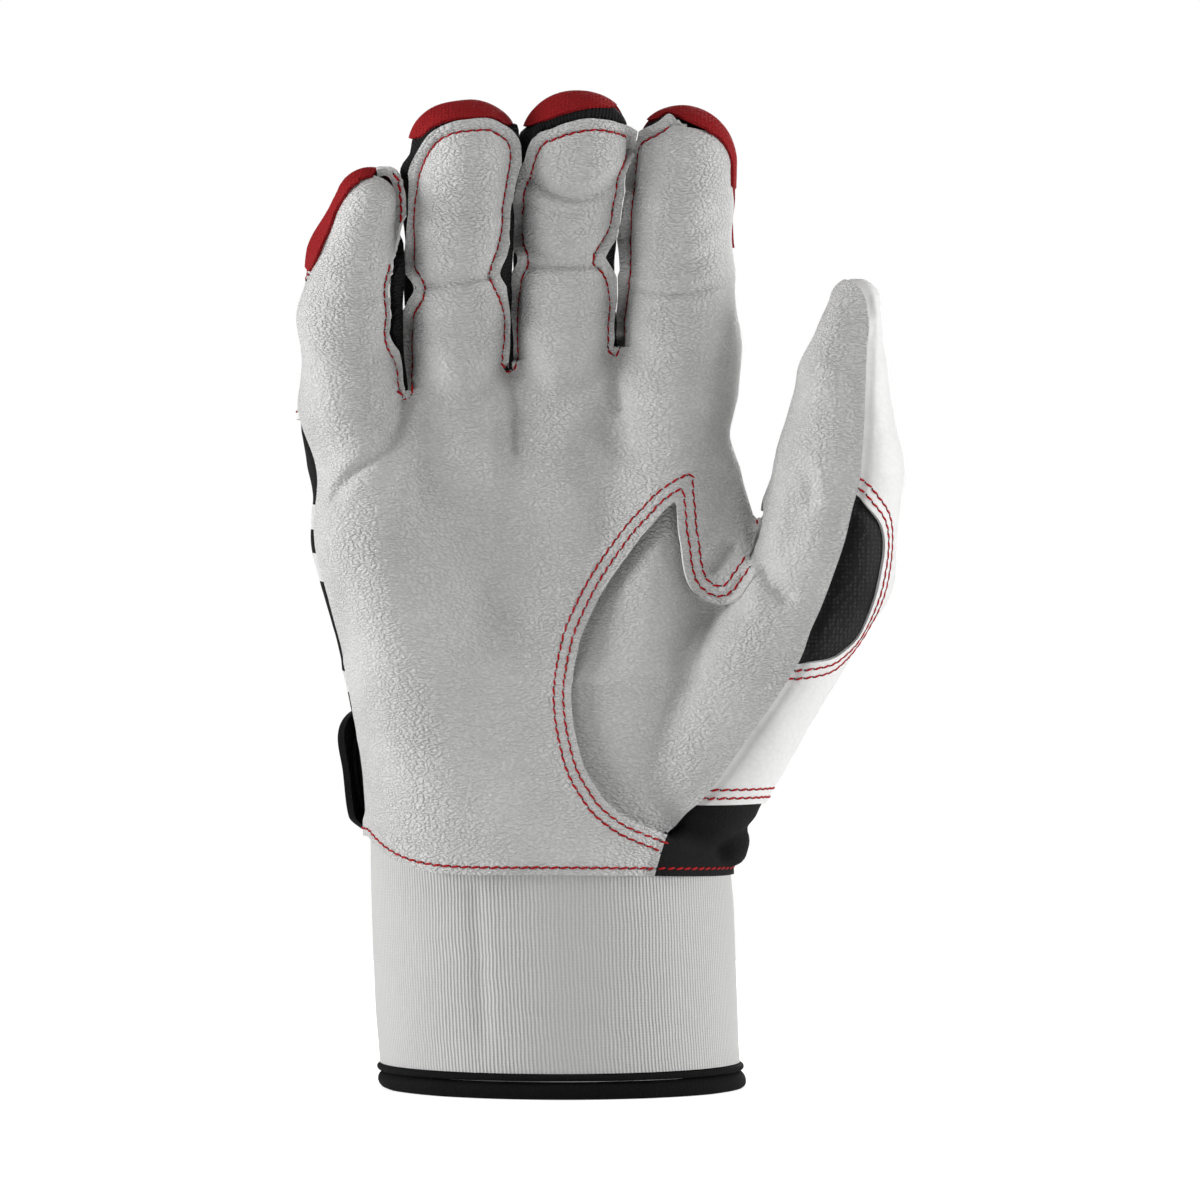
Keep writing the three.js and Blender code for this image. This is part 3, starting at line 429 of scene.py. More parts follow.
def before_thumb_edge(p):
    """Distance in front of the edge where the thumb's front leather meets its back."""
    q = seen(p)
    edge = np.interp(-q[:, 1], -thumb_edge[:, 1], thumb_edge[:, 0])
    return np.sign(edge - q[:, 0]) * to_run(q, thumb_edge)


# Sheets: open surfaces that a panel is cut from.
class Sheet:
    """Points, triangles, and for each point the marks of the cuts that it lies on."""

    def __init__(self, points, faces, marks):
        used, fresh = np.unique(faces, return_inverse=True)
        self.points, self.faces, self.marks = points[used], fresh.reshape(-1, 3), marks[used]


CORNERS = np.array([(x, y, z) for z in (0, 1) for y in (0, 1) for x in (0, 1)])
CELL_EDGES = [(m, n) for m in range(8) for n in range(m) if np.abs(CORNERS[m] - CORNERS[n]).sum() == 1]
BLOCK = 4  # cells each way that are looked at together
PROBE = 0.05


def gradient(field, p):
    """How a field changes along each axis."""
    sides = []
    for k in range(3):
        step = np.zeros(3)
        step[k] = PROBE
        sides.append((field(p + step) - field(p - step)) / (2 * PROBE))
    return np.stack(sides, 1)


def lattice(*steps):
    """Every place that takes one number from each list of steps."""
    return np.stack(np.meshgrid(*steps, indexing="ij"), -1).reshape(-1, len(steps))


def skin_of(field, low, high, cell=CELL):
    """The surface where a field is zero, from one vertex in each cell of a lattice that it passes through."""
    first = np.floor(np.array(low) / cell).astype(int)
    counts = np.ceil(np.array(high) / cell).astype(int) - first + 1
    counts = (counts // BLOCK + 1) * BLOCK
    values = np.empty(counts)
    blocks = lattice(*[np.arange(0, n, BLOCK) for n in counts])
    rough = field((first + blocks + (BLOCK - 1) / 2) * cell)
    near = np.abs(rough) < 1.5 * BLOCK * cell
    inner = lattice(*[np.arange(BLOCK)] * 3)
    at = (blocks[~near][:, None] + inner).reshape(-1, 3)
    values[tuple(at.T)] = np.repeat(rough[~near], BLOCK ** 3)
    at = (blocks[near][:, None] + inner).reshape(-1, 3)
    values[tuple(at.T)] = field((first + at) * cell)
    corner_values = np.stack([values[tuple(slice(c, n - 1 + c) for c, n in zip(corner, counts))]
                              for corner in CORNERS], -1)
    crossed = (corner_values.min(-1) < 0) & (corner_values.max(-1) >= 0)
    cells = np.argwhere(crossed)
    at = corner_values[crossed]
    total, count = np.zeros((len(cells), 3)), np.zeros(len(cells))
    for m, n in CELL_EDGES:
        cut = (at[:, m] < 0) != (at[:, n] < 0)
        share = at[:, m] / np.where(cut, at[:, m] - at[:, n], 1)
        total += cut[:, None] * mix(CORNERS[m], CORNERS[n], share[:, None])
        count += cut
    points = cell * (first + cells + total / count[:, None])
    for _ in range(4):
        slope = gradient(field, points)
        points -= slope * (field(points) / np.maximum((slope ** 2).sum(1), 1e-6))[:, None]
    number = np.full(values.shape, -1)
    number[tuple(cells.T)] = np.arange(len(cells))
    quads = []
    for axis in range(3):
        e, u, v = np.roll(np.eye(3, dtype=int), axis, 1)
        inside = values < 0
        turned = inside != np.roll(inside, -1, axis)
        at = np.argwhere(turned)
        at = at[(at > 0).all(1) & (at + 2 < counts).all(1)]
        ring = np.stack([number[tuple((at - s * u - t * v).T)]
                         for s, t in ((0, 0), (1, 0), (1, 1), (0, 1))], 1)
        flipped = ~inside[tuple(at.T)]
        ring[flipped] = ring[flipped][:, ::-1]
        quads.append(ring)
    a, b, c, d = np.concatenate(quads).T
    short = np.linalg.norm(points[a] - points[c], axis=1) < np.linalg.norm(points[b] - points[d], axis=1)
    faces = np.concatenate([np.stack([a, b, np.where(short, c, d)], 1),
                            np.stack([np.where(short, a, b), c, d], 1)])
    return Sheet(points, faces, np.zeros(len(points), int))


def whole(sheet):
    """All the pieces of a sheet."""
    return sheet


def largest(sheet):
    """Only the largest piece of a sheet that hangs together."""
    label = np.arange(len(sheet.points))
    while True:
        low = label[sheet.faces].min(1)
        lower = label.copy()
        np.minimum.at(lower, sheet.faces.ravel(), np.repeat(low, 3))
        lower = lower[lower]
        if (lower == label).all():
            break
        label = lower
    groups = label[sheet.faces[:, 0]]
    names, sizes = np.unique(groups, return_counts=True)
    return Sheet(sheet.points, sheet.faces[groups == names[sizes.argmax()]], sheet.marks)


def first_corner(rows, chosen):
    """Triangles turned so that the corner chosen in each comes first."""
    k = np.argmax(chosen, 1)
    return np.stack([rows[np.arange(len(rows)), (k + s) % 3] for s in range(3)], 1)


def clip(sheet, value, mark=0, keep=largest):
    """The part of a sheet where a value is positive. Points that the cut makes carry its mark."""
    faces, points, marks = sheet.faces, sheet.points, sheet.marks
    inside = value > 0
    count = inside[faces].sum(1)
    one = faces[count == 1]
    one = first_corner(one, inside[one])
    two = faces[count == 2]
    two = first_corner(two, ~inside[two])
    pairs = np.concatenate([one[:, [0, 1]], one[:, [0, 2]], two[:, [0, 1]], two[:, [0, 2]]])
    if not len(pairs):
        return Sheet(points, faces[count == 3], marks)
    edges, where = np.unique(np.sort(pairs, 1), axis=0, return_inverse=True)
    a, b = edges.T
    share = np.clip(value[a] / (value[a] - value[b]), 0.02, 0.98)[:, None]
    where = where.ravel() + len(points)
    ab1, ac1, ab2, ac2 = np.split(where, np.cumsum([len(one), len(one), len(two)]))
    made = np.concatenate([faces[count == 3], np.stack([one[:, 0], ab1, ac1], 1),
                           np.stack([ab2, two[:, 1], two[:, 2]], 1), np.stack([ab2, two[:, 2], ac2], 1)])
    return keep(Sheet(np.concatenate([points, mix(points[a], points[b], share)]), made,
                      np.concatenate([marks, (marks[a] & marks[b]) | mark])))


def rim_of(faces):
    """Edges that only one triangle uses, in that triangle's direction."""
    edges = faces[:, [0, 1, 1, 2, 2, 0]].reshape(-1, 2)
    key = edges.min(1) * (faces.max() + 1) + edges.max(1)
    _, first, count = np.unique(key, return_index=True, return_counts=True)
    return edges[first[count == 1]]


def chains_of(edges):
    """Edges that follow one another, as runs of point numbers."""
    following = dict(edges)
    starts = [a for a in following if a not in set(following.values())] or list(following)[:1]
    runs = []
    for start in starts:
        run = [start]
        while run[-1] in following and following[run[-1]] != start:
            run.append(following.pop(run[-1]))
        if len(run) > 3:
            runs.append(run)
    return runs


# Relief: what the leather does above and below the smooth skin.
def waves(p, size, seed):
    """Soft irregular waves between about -1 and 1, of one size in millimetres."""
    chance = np.random.default_rng(seed)
    ways = unit(chance.normal(size=(9, 3))) / size * chance.uniform(0.6, 1.4, (9, 1))
    return np.sin(2 * math.pi * (p @ ways.T) + chance.uniform(0, 2 * math.pi, 9)).sum(1) / 4


# Folds seen in the palm leather: a run in picture pixels, its width in millimetres, and its depth as a share
# of FOLD_DEPTH. A negative depth stands out.
FOLD_DEPTH = 1.4
FOLDS = [
    # little finger
    ([(318, 288), (350, 295), (382, 284)], 2.2, 0.9), ([(320, 300), (350, 306), (380, 298)], 1.6, 0.35),
    ([(318, 370), (347, 368), (374, 361)], 2.6, 0.5), ([(325, 240), (350, 246), (385, 238)], 2.5, 0.3),
    # ring finger
    ([(419, 213), (462, 211), (503, 206)], 2.4, 0.75), ([(424, 284), (455, 281), (490, 274)], 1.3, 1.4),
    ([(426, 293), (455, 292), (494, 290)], 1.2, 0.45), ([(424, 304), (460, 303), (500, 302)], 1.4, 0.35),
    ([(414, 250), (455, 252), (497, 246)], 2.5, 0.3),
    # middle finger
    ([(529, 176), (550, 190), (575, 196), (600, 190), (621, 176)], 1.5, 1.9),
    ([(530, 170), (552, 181), (575, 186), (598, 181), (618, 168)], 2.6, -0.8),
    ([(522, 204), (570, 213), (616, 202)], 1.5, 0.6), ([(519, 222), (565, 232), (611, 222)], 1.6, 0.4),
    ([(522, 238), (552, 256), (592, 252), (606, 238)], 1.6, 1.1),
    ([(527, 265), (560, 266), (594, 264)], 1.1, 1.3), ([(522, 279), (560, 282), (604, 280)], 1.4, 0.45),
    # forefinger
    ([(634, 256), (665, 246), (700, 232), (722, 214)], 2.6, 0.6),
    ([(634, 275), (675, 267), (707, 255), (734, 236)], 2.0, 0.75),
    ([(632, 287), (675, 292), (705, 287), (738, 279)], 1.2, 1.1),
    ([(634, 281), (675, 285), (705, 280), (738, 271)], 1.8, -0.5),
    ([(650, 190), (690, 186), (732, 165)], 4.0, 0.4), ([(628, 312), (670, 318), (735, 312)], 2.6, 0.3),
    # where the fingers meet the palm
    ([(415, 362), (438, 390), (462, 404), (486, 390), (502, 374)], 3.6, 1.5),
    ([(517, 364), (540, 390), (562, 397), (585, 380), (606, 360)], 3.6, 1.3),
    ([(622, 342), (645, 362), (690, 376), (722, 356), (736, 336)], 3.4, 0.9),
    ([(403, 404), (395, 432), (376, 456), (352, 475), (336, 495)], 1.5, 1.3),
    ([(392, 415), (380, 440), (360, 458), (335, 478)], 3.5, -0.5),
    ([(414, 408), (408, 440), (405, 500)], 2.6, -0.8), ([(509, 376), (511, 405), (514, 450)], 1.3, 0.9),
    ([(500, 386), (497, 420), (495, 480)], 3.0, -0.7), ([(614, 362), (616, 385), (620, 410)], 1.4, 0.8),
    ([(604, 372), (604, 420), (600, 460)], 3.0, -0.4),
    # the palm
    ([(400, 425), (450, 432), (515, 420), (600, 436), (680, 430)], 8, 1.1),
    ([(425, 415), (470, 425), (520, 420)], 6, 1.0), ([(560, 425), (600, 445), (650, 450)], 6, 0.7),
    ([(440, 440), (470, 520), (490, 620)], 7, 1.3), ([(400, 470), (385, 560), (392, 660)], 7, -0.7),
    ([(545, 420), (555, 480), (545, 560)], 8, 1.3), ([(610, 430), (640, 455), (690, 465)], 5, 0.8),
    ([(640, 400), (690, 410), (735, 400)], 5, -0.4),
    # the web and the thumb
    ([(714, 569), (722, 560), (730, 548)], 1.1, 1.0), ([(708, 556), (716, 546), (724, 536)], 1.6, -0.5),
    ([(727, 603), (737, 592), (746, 577)], 1.4, 0.9),
    ([(754, 541), (762, 560), (772, 580), (786, 597)], 2.0, 1.3),
    ([(747, 548), (750, 570), (755, 600)], 2.2, -0.7),
    ([(782, 459), (800, 464), (810, 480), (812, 500)], 1.6, 0.9),
    ([(792, 452), (812, 462), (822, 482)], 2.2, -0.4), ([(826, 484), (836, 500), (834, 525)], 2.4, 0.4),
    ([(834, 350), (846, 364), (852, 386)], 2.0, 0.5), ([(800, 500), (790, 540), (776, 560)], 3.0, 0.6),
    ([(846, 300), (850, 320), (844, 345)], 1.8, 0.35),
]
folds = [(flowing(run, 2), width, depth) for run, width, depth in FOLDS]

# Where the leather rises and dips beside a seam: its height, its distance from the seam, and its width.
THUMB_EDGE_ROLL, THUMB_EDGE_DIP = (0.3, 0, 0.8), (-0.25, 2.2, 1.3)
STITCH_PULL, STITCH_PULL_WIDTH = 0.75, 1.7
PAD_ROWS = 2.1  # between the two rows of stitches round the thumb's pad
PAD_EDGE = 3.9  # from the outer row to the palm leather's turned edge
WEB_EDGE = 0.6  # the same at the web, where it slips under the thumb's leather
ROW_DEPTH, ROW_WIDTH = 0.22, 0.5
PALM_OVER_PAD, PALM_SUNK_AT_WEB = 0.75, 1.2
PAD_SUNK, PAD_SUNK_AT_EDGE, PAD_MIDDLE = 0.5, 2.6, 0.8
WEB_BULGE, WEB_BULGE_WIDTH = 0.9, 6
CUFF_LAP = 0.75  # how far the leather stands out where it laps over the cuff
LEATHER_OVERLAP = 2.0
SEAM_RISE, SEAM_DROP = 7.5, 1.4  # of the cuff's seam, at the little finger's side and at the thumb's
LEATHER_WAVES = [(0.16, 19, 3), (0.07, 7, 4)]  # heights, sizes and seeds


def facing_viewer(normals):
    """From 0 at the hand's sides and back to 1 on its front."""
    return smooth((0.1 - normals[:, 1]) / 0.55)


def lifted(p, normals, height):
    """Points moved out by a height. On the front they go straight at the camera, so that seams stay where
    they are seen."""
    front = facing_viewer(normals)[:, None]
    return p + unit(mix(normals, np.array([0, -1.0, 0]), front)) * height[:, None]


def ridge(distance, height, place, width):
    """A rounded ridge beside a seam, or a groove where its height is negative."""
    return height * np.exp(-((distance - place) / width) ** 2)


def cuff_seam(p):
    """How high the palm and back are sewn to the cuff: higher at the little finger's side, and lower at the
    thumb's."""
    across = (p[:, 0] - cuff_centre(CUFF_HEIGHT)) / (CUFF_WIDTH / 2)
    little, thumbward = np.clip(-across, 0, 1), np.clip(across, 0, 1)
    return CUFF_HEIGHT + SEAM_RISE * little ** 6 - SEAM_DROP * thumbward ** 2


def on_cuff(p):
    """Distance below the cuff's seam."""
    return cuff_seam(p) - p[:, 2]


def over_cuff(p):
    """From 0 above the cuff to 1 where a panel laps over it."""
    return smooth((on_cuff(p) + 4) / 3)


def at_web(p):
    """From 0 on the palm to 1 between forefinger and thumb."""
    across, down = seen(p).T
    return smooth((across - WEB_LEFT) / WEB_LEFT_FADE) * smooth((WEB_LOW - down) / WEB_LOW_FADE)


def leather_relief(p, normals):
    """Folds, the thumb's edge and slow waves, in millimetres above the skin."""
    q = seen(p)
    total = np.zeros(len(p))
    for run, width, depth in folds:
        reach = 4 * width / PIXEL
        near = ((q > run.min(0) - reach) & (q < run.max(0) + reach)).all(1)
        total[near] += ridge(to_run(q[near], run), -FOLD_DEPTH * depth, 0, width)
    edge = to_run(q, thumb_edge)
    total += ridge(edge, *THUMB_EDGE_ROLL) + ridge(edge, *THUMB_EDGE_DIP)
    total = facing_viewer(normals) * total
    for height, size, seed in LEATHER_WAVES:
        total += height * waves(p, size, seed)
    return total


def finger_relief(p, normals):
    """The leather's relief, drawn in by the front's stitches."""
    stitched = np.abs(front_leather(p))
    return leather_relief(p, normals) - STITCH_PULL * np.exp(-stitched / STITCH_PULL_WIDTH)


def palm_relief(p, normals):
    """The palm leather is raised round the pad, with a groove along each row of stitches."""
    inward = pad(p)
    rows = ridge(inward, 1, 0, ROW_WIDTH) + ridge(inward, 1, PAD_ROWS, ROW_WIDTH)
    raised_edge = (PALM_OVER_PAD - PALM_SUNK_AT_WEB * at_web(p)) * smooth((inward + 3) / 4)
    return finger_relief(p, normals) + raised_edge - ROW_DEPTH * rows + CUFF_LAP * over_cuff(p)


def pad_relief(p, normals):
    """The pad leather lies deepest under the palm leather's edge, against whose underside it is sewn up."""
    inward = pad(p) - PAD_EDGE
    across, down = seen(p).T
    on_palm = smooth((PAD_ROW_END - across) / PAD_ROW_FADE)
    near_edge = np.exp(-np.maximum(inward, 0) / 5.5)
    sunk_edge = PAD_SUNK + PAD_SUNK_AT_EDGE * near_edge - PAD_MIDDLE * smooth(inward / 14)
    below_top = smooth((down - WEB_HIGH) / WEB_HIGH_FADE)
    bulge = WEB_BULGE * at_web(p) * np.exp(-(np.maximum(pad(p), 0) / WEB_BULGE_WIDTH) ** 2) * below_top
    lap = over_cuff(p)
    own = (leather_relief(p, normals) - on_palm * sunk_edge * (1 - lap) * (1 - at_web(p)) + CUFF_LAP * lap
           + bulge)
    sewn_up = on_palm * (1 - at_web(p)) * (1 - smooth((pad(p) - 1.3) / 2.2))
    return mix(own, palm_relief(p, normals) - LEATHER - 0.1, sewn_up)


def pad_edge(p):
    """How far the palm leather reaches past the outer row of stitches."""
    return mix(PAD_EDGE, WEB_EDGE, at_web(p))


# Making objects
SHARP_ANGLE = 55  # degrees, above which an edge shows as a crease


def linked(name, data):
    """An object of a mesh, lamp or camera, in the scene."""
    made = bpy.data.objects.new(name, data)
    bpy.context.scene.collection.objects.link(made)
    return made


def note_vectors(mesh, label, vectors):
    """Keeps a vector for each of a mesh's points."""
    layer = mesh.attributes.new(label, "FLOAT_VECTOR", "POINT")
    layer.data.foreach_set("vector", vectors.ravel())


def solid(name, outer, normals, faces, thickness, finish, edge_finish=None, weave=None, low=0.0):
    """A closed piece between a sheet and its offset inwards, with walls along the sheet's edges. Low is how
    far the whole piece stands off."""
    count = len(outer)
    outer = outer + normals * low
    points = np.concatenate([outer, outer - normals * thickness])
    rim = rim_of(faces)
    a, b = rim.T
    walls = np.concatenate([np.stack([b, a, a + count], 1), np.stack([b, a + count, b + count], 1)])
    triangles = np.concatenate([faces, faces[:, ::-1] + count, walls])
    mesh = bpy.data.meshes.new(name)
    mesh.vertices.add(len(points))
    mesh.vertices.foreach_set("co", (points * MM).ravel())
    mesh.loops.add(triangles.size)
    mesh.loops.foreach_set("vertex_index", triangles.ravel())
    mesh.polygons.add(len(triangles))
    mesh.polygons.foreach_set("loop_start", np.arange(0, triangles.size, 3))
    mesh.update(calc_edges=True)
    mesh.materials.append(finish)
    if edge_finish:
        mesh.materials.append(edge_finish)
        index = np.zeros(len(triangles), int)
        index[-len(walls):] = 1
        mesh.polygons.foreach_set("material_index", index)
    if weave is not None:
        note_vectors(mesh, "weave", np.concatenate([weave, weave]))
    mesh.shade_smooth()
    mesh.set_sharp_from_angle(angle=math.radians(SHARP_ANGLE))
    return linked(name, mesh)


def placed(q, depth):
    """Points that the camera sees at given pixels, at given depths."""
    scale = FOCAL_PIXELS / (depth - CAMERA_PLACE[1])
    return np.stack([CAMERA_PLACE[0] + (q[:, 0] - PICTURE / 2) / scale, depth,
                     CAMERA_PLACE[2] + (PICTURE / 2 - q[:, 1]) / scale], 1)


def point_normals(points, faces):
    """Each point's normal from the triangles round it."""
    a, b, c = points[faces].transpose(1, 0, 2)
    total = np.zeros(points.shape)
    for k in range(3):
        np.add.at(total, faces[:, k], np.cross(b - a, c - a))
    return unit(total)


MARGIN = 2.5  # of raw leather beyond the finger fronts' stitches
MARGIN_INSIDE = 1.3  # of it within the stitches, where it lies on the finger's own leather
MARGIN_SLIT = 0.3  # between one finger's margin and the next one's
MARGIN_CELL = 0.5
MARGIN_SLOPE, MARGIN_CURL, MARGIN_LIFT = 0.16, 0.1, 0.7  # backwards, its unevenness, and forwards


def depth_beside(q, seam):
    """The depth of a seam's points that are seen nearest to given pixels."""
    apart = ((q[:, None] - seen(seam)[None]) ** 2).sum(2) * PIXEL ** 2
    weight = np.exp(-(apart - apart.min(1, keepdims=True)) / 2)
    return weight @ seam[:, 1] / weight.sum(1)


def margin(name, seam, part):
    """The raw leather margin beyond a finger's front stitches, where the part given is positive. It stands
    out flat, as the camera sees it, at the depth of the stitches beside it."""
    run = finger_runs[name]
    others = [finger_runs[other] for other in FINGERS if other != name]
    low, high = run.min(0) - 2 * MARGIN / PIXEL, run.max(0) + 2 * MARGIN / PIXEL
    columns, rows = (np.arange(a, b, MARGIN_CELL / PIXEL) for a, b in zip(low, high))
    q = lattice(columns, rows)
    number = np.arange(len(q)).reshape(len(columns), len(rows))
    a, b, c, d = number[:-1, :-1], number[1:, :-1], number[1:, 1:], number[:-1, 1:]
    faces = np.concatenate([np.stack([a, d, c], -1).reshape(-1, 3), np.stack([a, c, b], -1).reshape(-1, 3)])
    near = to_run(q, run) < MARGIN + 1
    faces = faces[near[faces].all(1)]
    used, fresh = np.unique(faces, return_inverse=True)
    q = q[used]
    depth = depth_beside(q, seam)
    outward = -inside_outline(q, front_outline)
    beyond = np.maximum(outward, 0)
    uneven = MARGIN_CURL * beyond * waves(placed(q, depth), 7, 12)
    depth += MARGIN_SLOPE * beyond - MARGIN_LIFT * smooth(outward / 0.9) + uneven
    depth += MARGIN_LIFT * smooth(-outward / 0.8)
    strip = Sheet(placed(q, depth), fresh.reshape(-1, 3), np.zeros(len(q), int))
    from_next = np.min([to_run(seen(strip.points), other) for other in others], axis=0)
    own_side = from_next - to_run(seen(strip.points), run) - MARGIN_SLIT / 2
    strip = clip(strip, own_side, keep=whole)
    for value in (lambda p: MARGIN_INSIDE - front_leather(p),
                  lambda p: front_leather(p) + margin_width(name, p), part):
        strip = clip(strip, value(strip.points), keep=whole)
    return strip.points, point_normals(strip.points, strip.faces), strip.faces


def margin_width(name, p):
    """It narrows beside the little finger's tip, and where the seam leaves the front at the forefinger's."""
    across, down = seen(p).T
    if name == "pinky":
        shares = on_line(LITTLE_MARGIN_SHARES, down)
    else:
        shares = smooth((FOREFINGER_TURN - across) / FOREFINGER_FADE)
    return MARGIN * (1 + 0.06 * waves(p, 6, 13)) * shares


def joined(*parts):
    """Points, normals and triangles of several sheets as one."""
    starts = np.cumsum([0, *[len(points) for points, _, _ in parts]])
    points, normals, faces = zip(*parts)
    return (np.concatenate(points), np.concatenate(normals),
            np.concatenate([some + start for some, start in zip(faces, starts)]))


thread_runs = {}  # for each body, the stitches' paths with the surface's normals


def sew(body, sheet, field, value, relief, keep=None):
    """Notes a row of stitches where a value is zero on a sheet, and gives its points."""
    at = clip(sheet, value(sheet.points), mark=THREAD)
    edges = rim_of(at.faces)
    edges = edges[(at.marks[edges] & THREAD > 0).all(1)]
    if keep is not None:
        edges = edges[keep(at.points)[edges].all(1)]
    normals = unit(gradient(field, at.points))
    paths = lifted(at.points, normals, relief(at.points, normals))
    for run in chains_of(edges.tolist()):
        path = paths[run]
        for _ in range(4):
            path[1:-1] = (path[:-2] + 2 * path[1:-1] + path[2:]) / 4
        thread_runs.setdefault(body, []).append((path, normals[run]))
    return paths[np.unique(edges)]


def cut(sheet, *seams, mark=0):
    """The part of a sheet where all of the seams' values are positive. The points on the last seam carry the
    mark."""
    for seam in seams:
        sheet = clip(sheet, seam(sheet.points), mark if seam is seams[-1] else 0)
    return sheet


def panel(name, sheet, field, thickness, finish, relief=leather_relief, edge_finish=None, margins=(),
          weave=None, low=0.0):
    """One panel's object from its cut sheet."""
    normals = unit(gradient(field, sheet.points))
    outer = lifted(sheet.points, normals, relief(sheet.points, normals))
    pattern = weave(sheet.points) if weave else None
    outer, normals, faces = joined((outer, normals, sheet.faces), *margins)
    return solid(name, outer, normals, faces, thickness, finish, edge_finish, pattern, low)


# Materials
def linear(colour):
    """An sRGB hex colour as linear red, green, blue and alpha."""
    parts = [int(colour[k:k + 2], 16) / 255 for k in (1, 3, 5)]
    return tuple(c / 12.92 if c <= 0.04045 else ((c + 0.055) / 1.055) ** 2.4 for c in parts) + (1,)


def add_node(tree, kind, inputs=None, **settings):
    """A node with its settings; each of its inputs takes a value or another node's output."""
    node = tree.nodes.new(kind)
    for key, value in settings.items():
        setattr(node, key, value)
    for key, value in (inputs or {}).items():
        if isinstance(value, bpy.types.NodeSocket):
            tree.links.new(value, node.inputs[key])
        else:
            node.inputs[key].default_value = value
    return node


def new_material(name, roughness):
    """A material, its nodes and its shader."""
    made = bpy.data.materials.new(name)
    made.use_nodes = True
    shader = made.node_tree.nodes["Principled BSDF"]
    shader.inputs["Roughness"].default_value = roughness
    return made, made.node_tree, shader


PER_MM = 1000  # Object coordinates are metres
GRAIN_DRIFT_MM, GRAIN_WANDER_MM, PORE_MM, WEAR_PATCH_MM = 2.6, 1.1, 0.4, 22
KNIT_ROW_MM = 0.65


def dye(tree, shader, share, colour, other_colour):
    """Gives a shader's base colour a share, from 0 to 1, of the other colour."""
    dyed = add_node(tree, "ShaderNodeMix", {0: share, 6: colour, 7: other_colour}, data_type="RGBA")
    tree.links.new(dyed.outputs[2], shader.inputs["Base Color"])


def emboss(tree, shader, height, strength, relief_mm, specular):
    """Gives a shader its relief, and how strongly it mirrors lamps."""
    bump = add_node(tree, "ShaderNodeBump", {"Height": height, "Strength": strength,
                                             "Distance": relief_mm * MM})
    tree.links.new(bump.outputs[0], shader.inputs["Normal"])
    shader.inputs["Specular IOR Level"].default_value = specular


def goatskin(name, colour, valley_shade_and_wear_colour, grain_mm, relief_mm, roughness):
    """Tanned goatskin with a tumbled pebble grain: small cushions with fine valleys between them.
    The valleys are painted darker as shade, and soft patches of wear tint it a little.
    """
    made, tree, shader = new_material(name, roughness)
    place = add_node(tree, "ShaderNodeTexCoord").outputs["Object"]
    drift = add_node(tree, "ShaderNodeTexNoise", {
        "Vector": place, "Scale": PER_MM / GRAIN_DRIFT_MM, "Detail": 2.0})
    shifted = add_node(tree, "ShaderNodeVectorMath", {0: drift.outputs["Color"], 1: (0.5, 0.5, 0.5)},
                       operation="SUBTRACT")
    wander = (GRAIN_WANDER_MM * MM,) * 3
    bent = add_node(tree, "ShaderNodeVectorMath", {0: shifted.outputs[0], 1: wander, 2: place},
                    operation="MULTIPLY_ADD")
    # The grain runs a little longer across the hand than along it.
    laid = add_node(tree, "ShaderNodeMapping", {
        "Vector": bent.outputs[0], "Rotation": (0, 0.5, 0), "Scale": (0.7, 1, 1.25)})
    pebbles = add_node(tree, "ShaderNodeTexVoronoi", {
        "Vector": laid.outputs[0], "Scale": PER_MM / grain_mm, "Randomness": 0.9}, feature="F1")
    cushion = add_node(tree, "ShaderNodeMapRange", {
        "Value": pebbles.outputs["Distance"], "From Min": 0.25, "From Max": 0.8,
        "To Min": 1.0, "To Max": 0.0}, interpolation_type="SMOOTHSTEP")
    pores = add_node(tree, "ShaderNodeTexNoise", {
        "Vector": laid.outputs[0], "Scale": PER_MM / PORE_MM, "Detail": 2.0})
    height = add_node(tree, "ShaderNodeMath", {0: pores.outputs[0], 1: 0.12, 2: cushion.outputs[0]},
                      operation="MULTIPLY_ADD")
    patches = add_node(tree, "ShaderNodeTexNoise", {
        "Vector": place, "Scale": PER_MM / WEAR_PATCH_MM, "Detail": 3.0})
    strength = add_node(tree, "ShaderNodeMapRange", {
        "Value": patches.outputs[0], "From Min": 0.35, "From Max": 0.65, "To Min": 0.62, "To Max": 0.85})
    emboss(tree, shader, height.outputs[0], strength.outputs[0], relief_mm, 0.35)
    worn = add_node(tree, "ShaderNodeMapRange", {
        "Value": patches.outputs[0], "From Min": 0.3, "From Max": 0.7, "To Min": 0.0, "To Max": 0.08})
    tone = add_node(tree, "ShaderNodeMix", {0: worn.outputs[0], 6: linear(colour), 7: linear(valley_shade_and_wear_colour)},
                    data_type="RGBA")
    # Painted shade: the hollows between the cushions are darkened towards the shade colour.
    painted_valley_shade = add_node(tree, "ShaderNodeMapRange", {"Value": cushion.outputs[0], "To Min": 0.2, "To Max": 0.0})
    dye(tree, shader, painted_valley_shade.outputs[0], tone.outputs[2], linear(valley_shade_and_wear_colour))
    return made


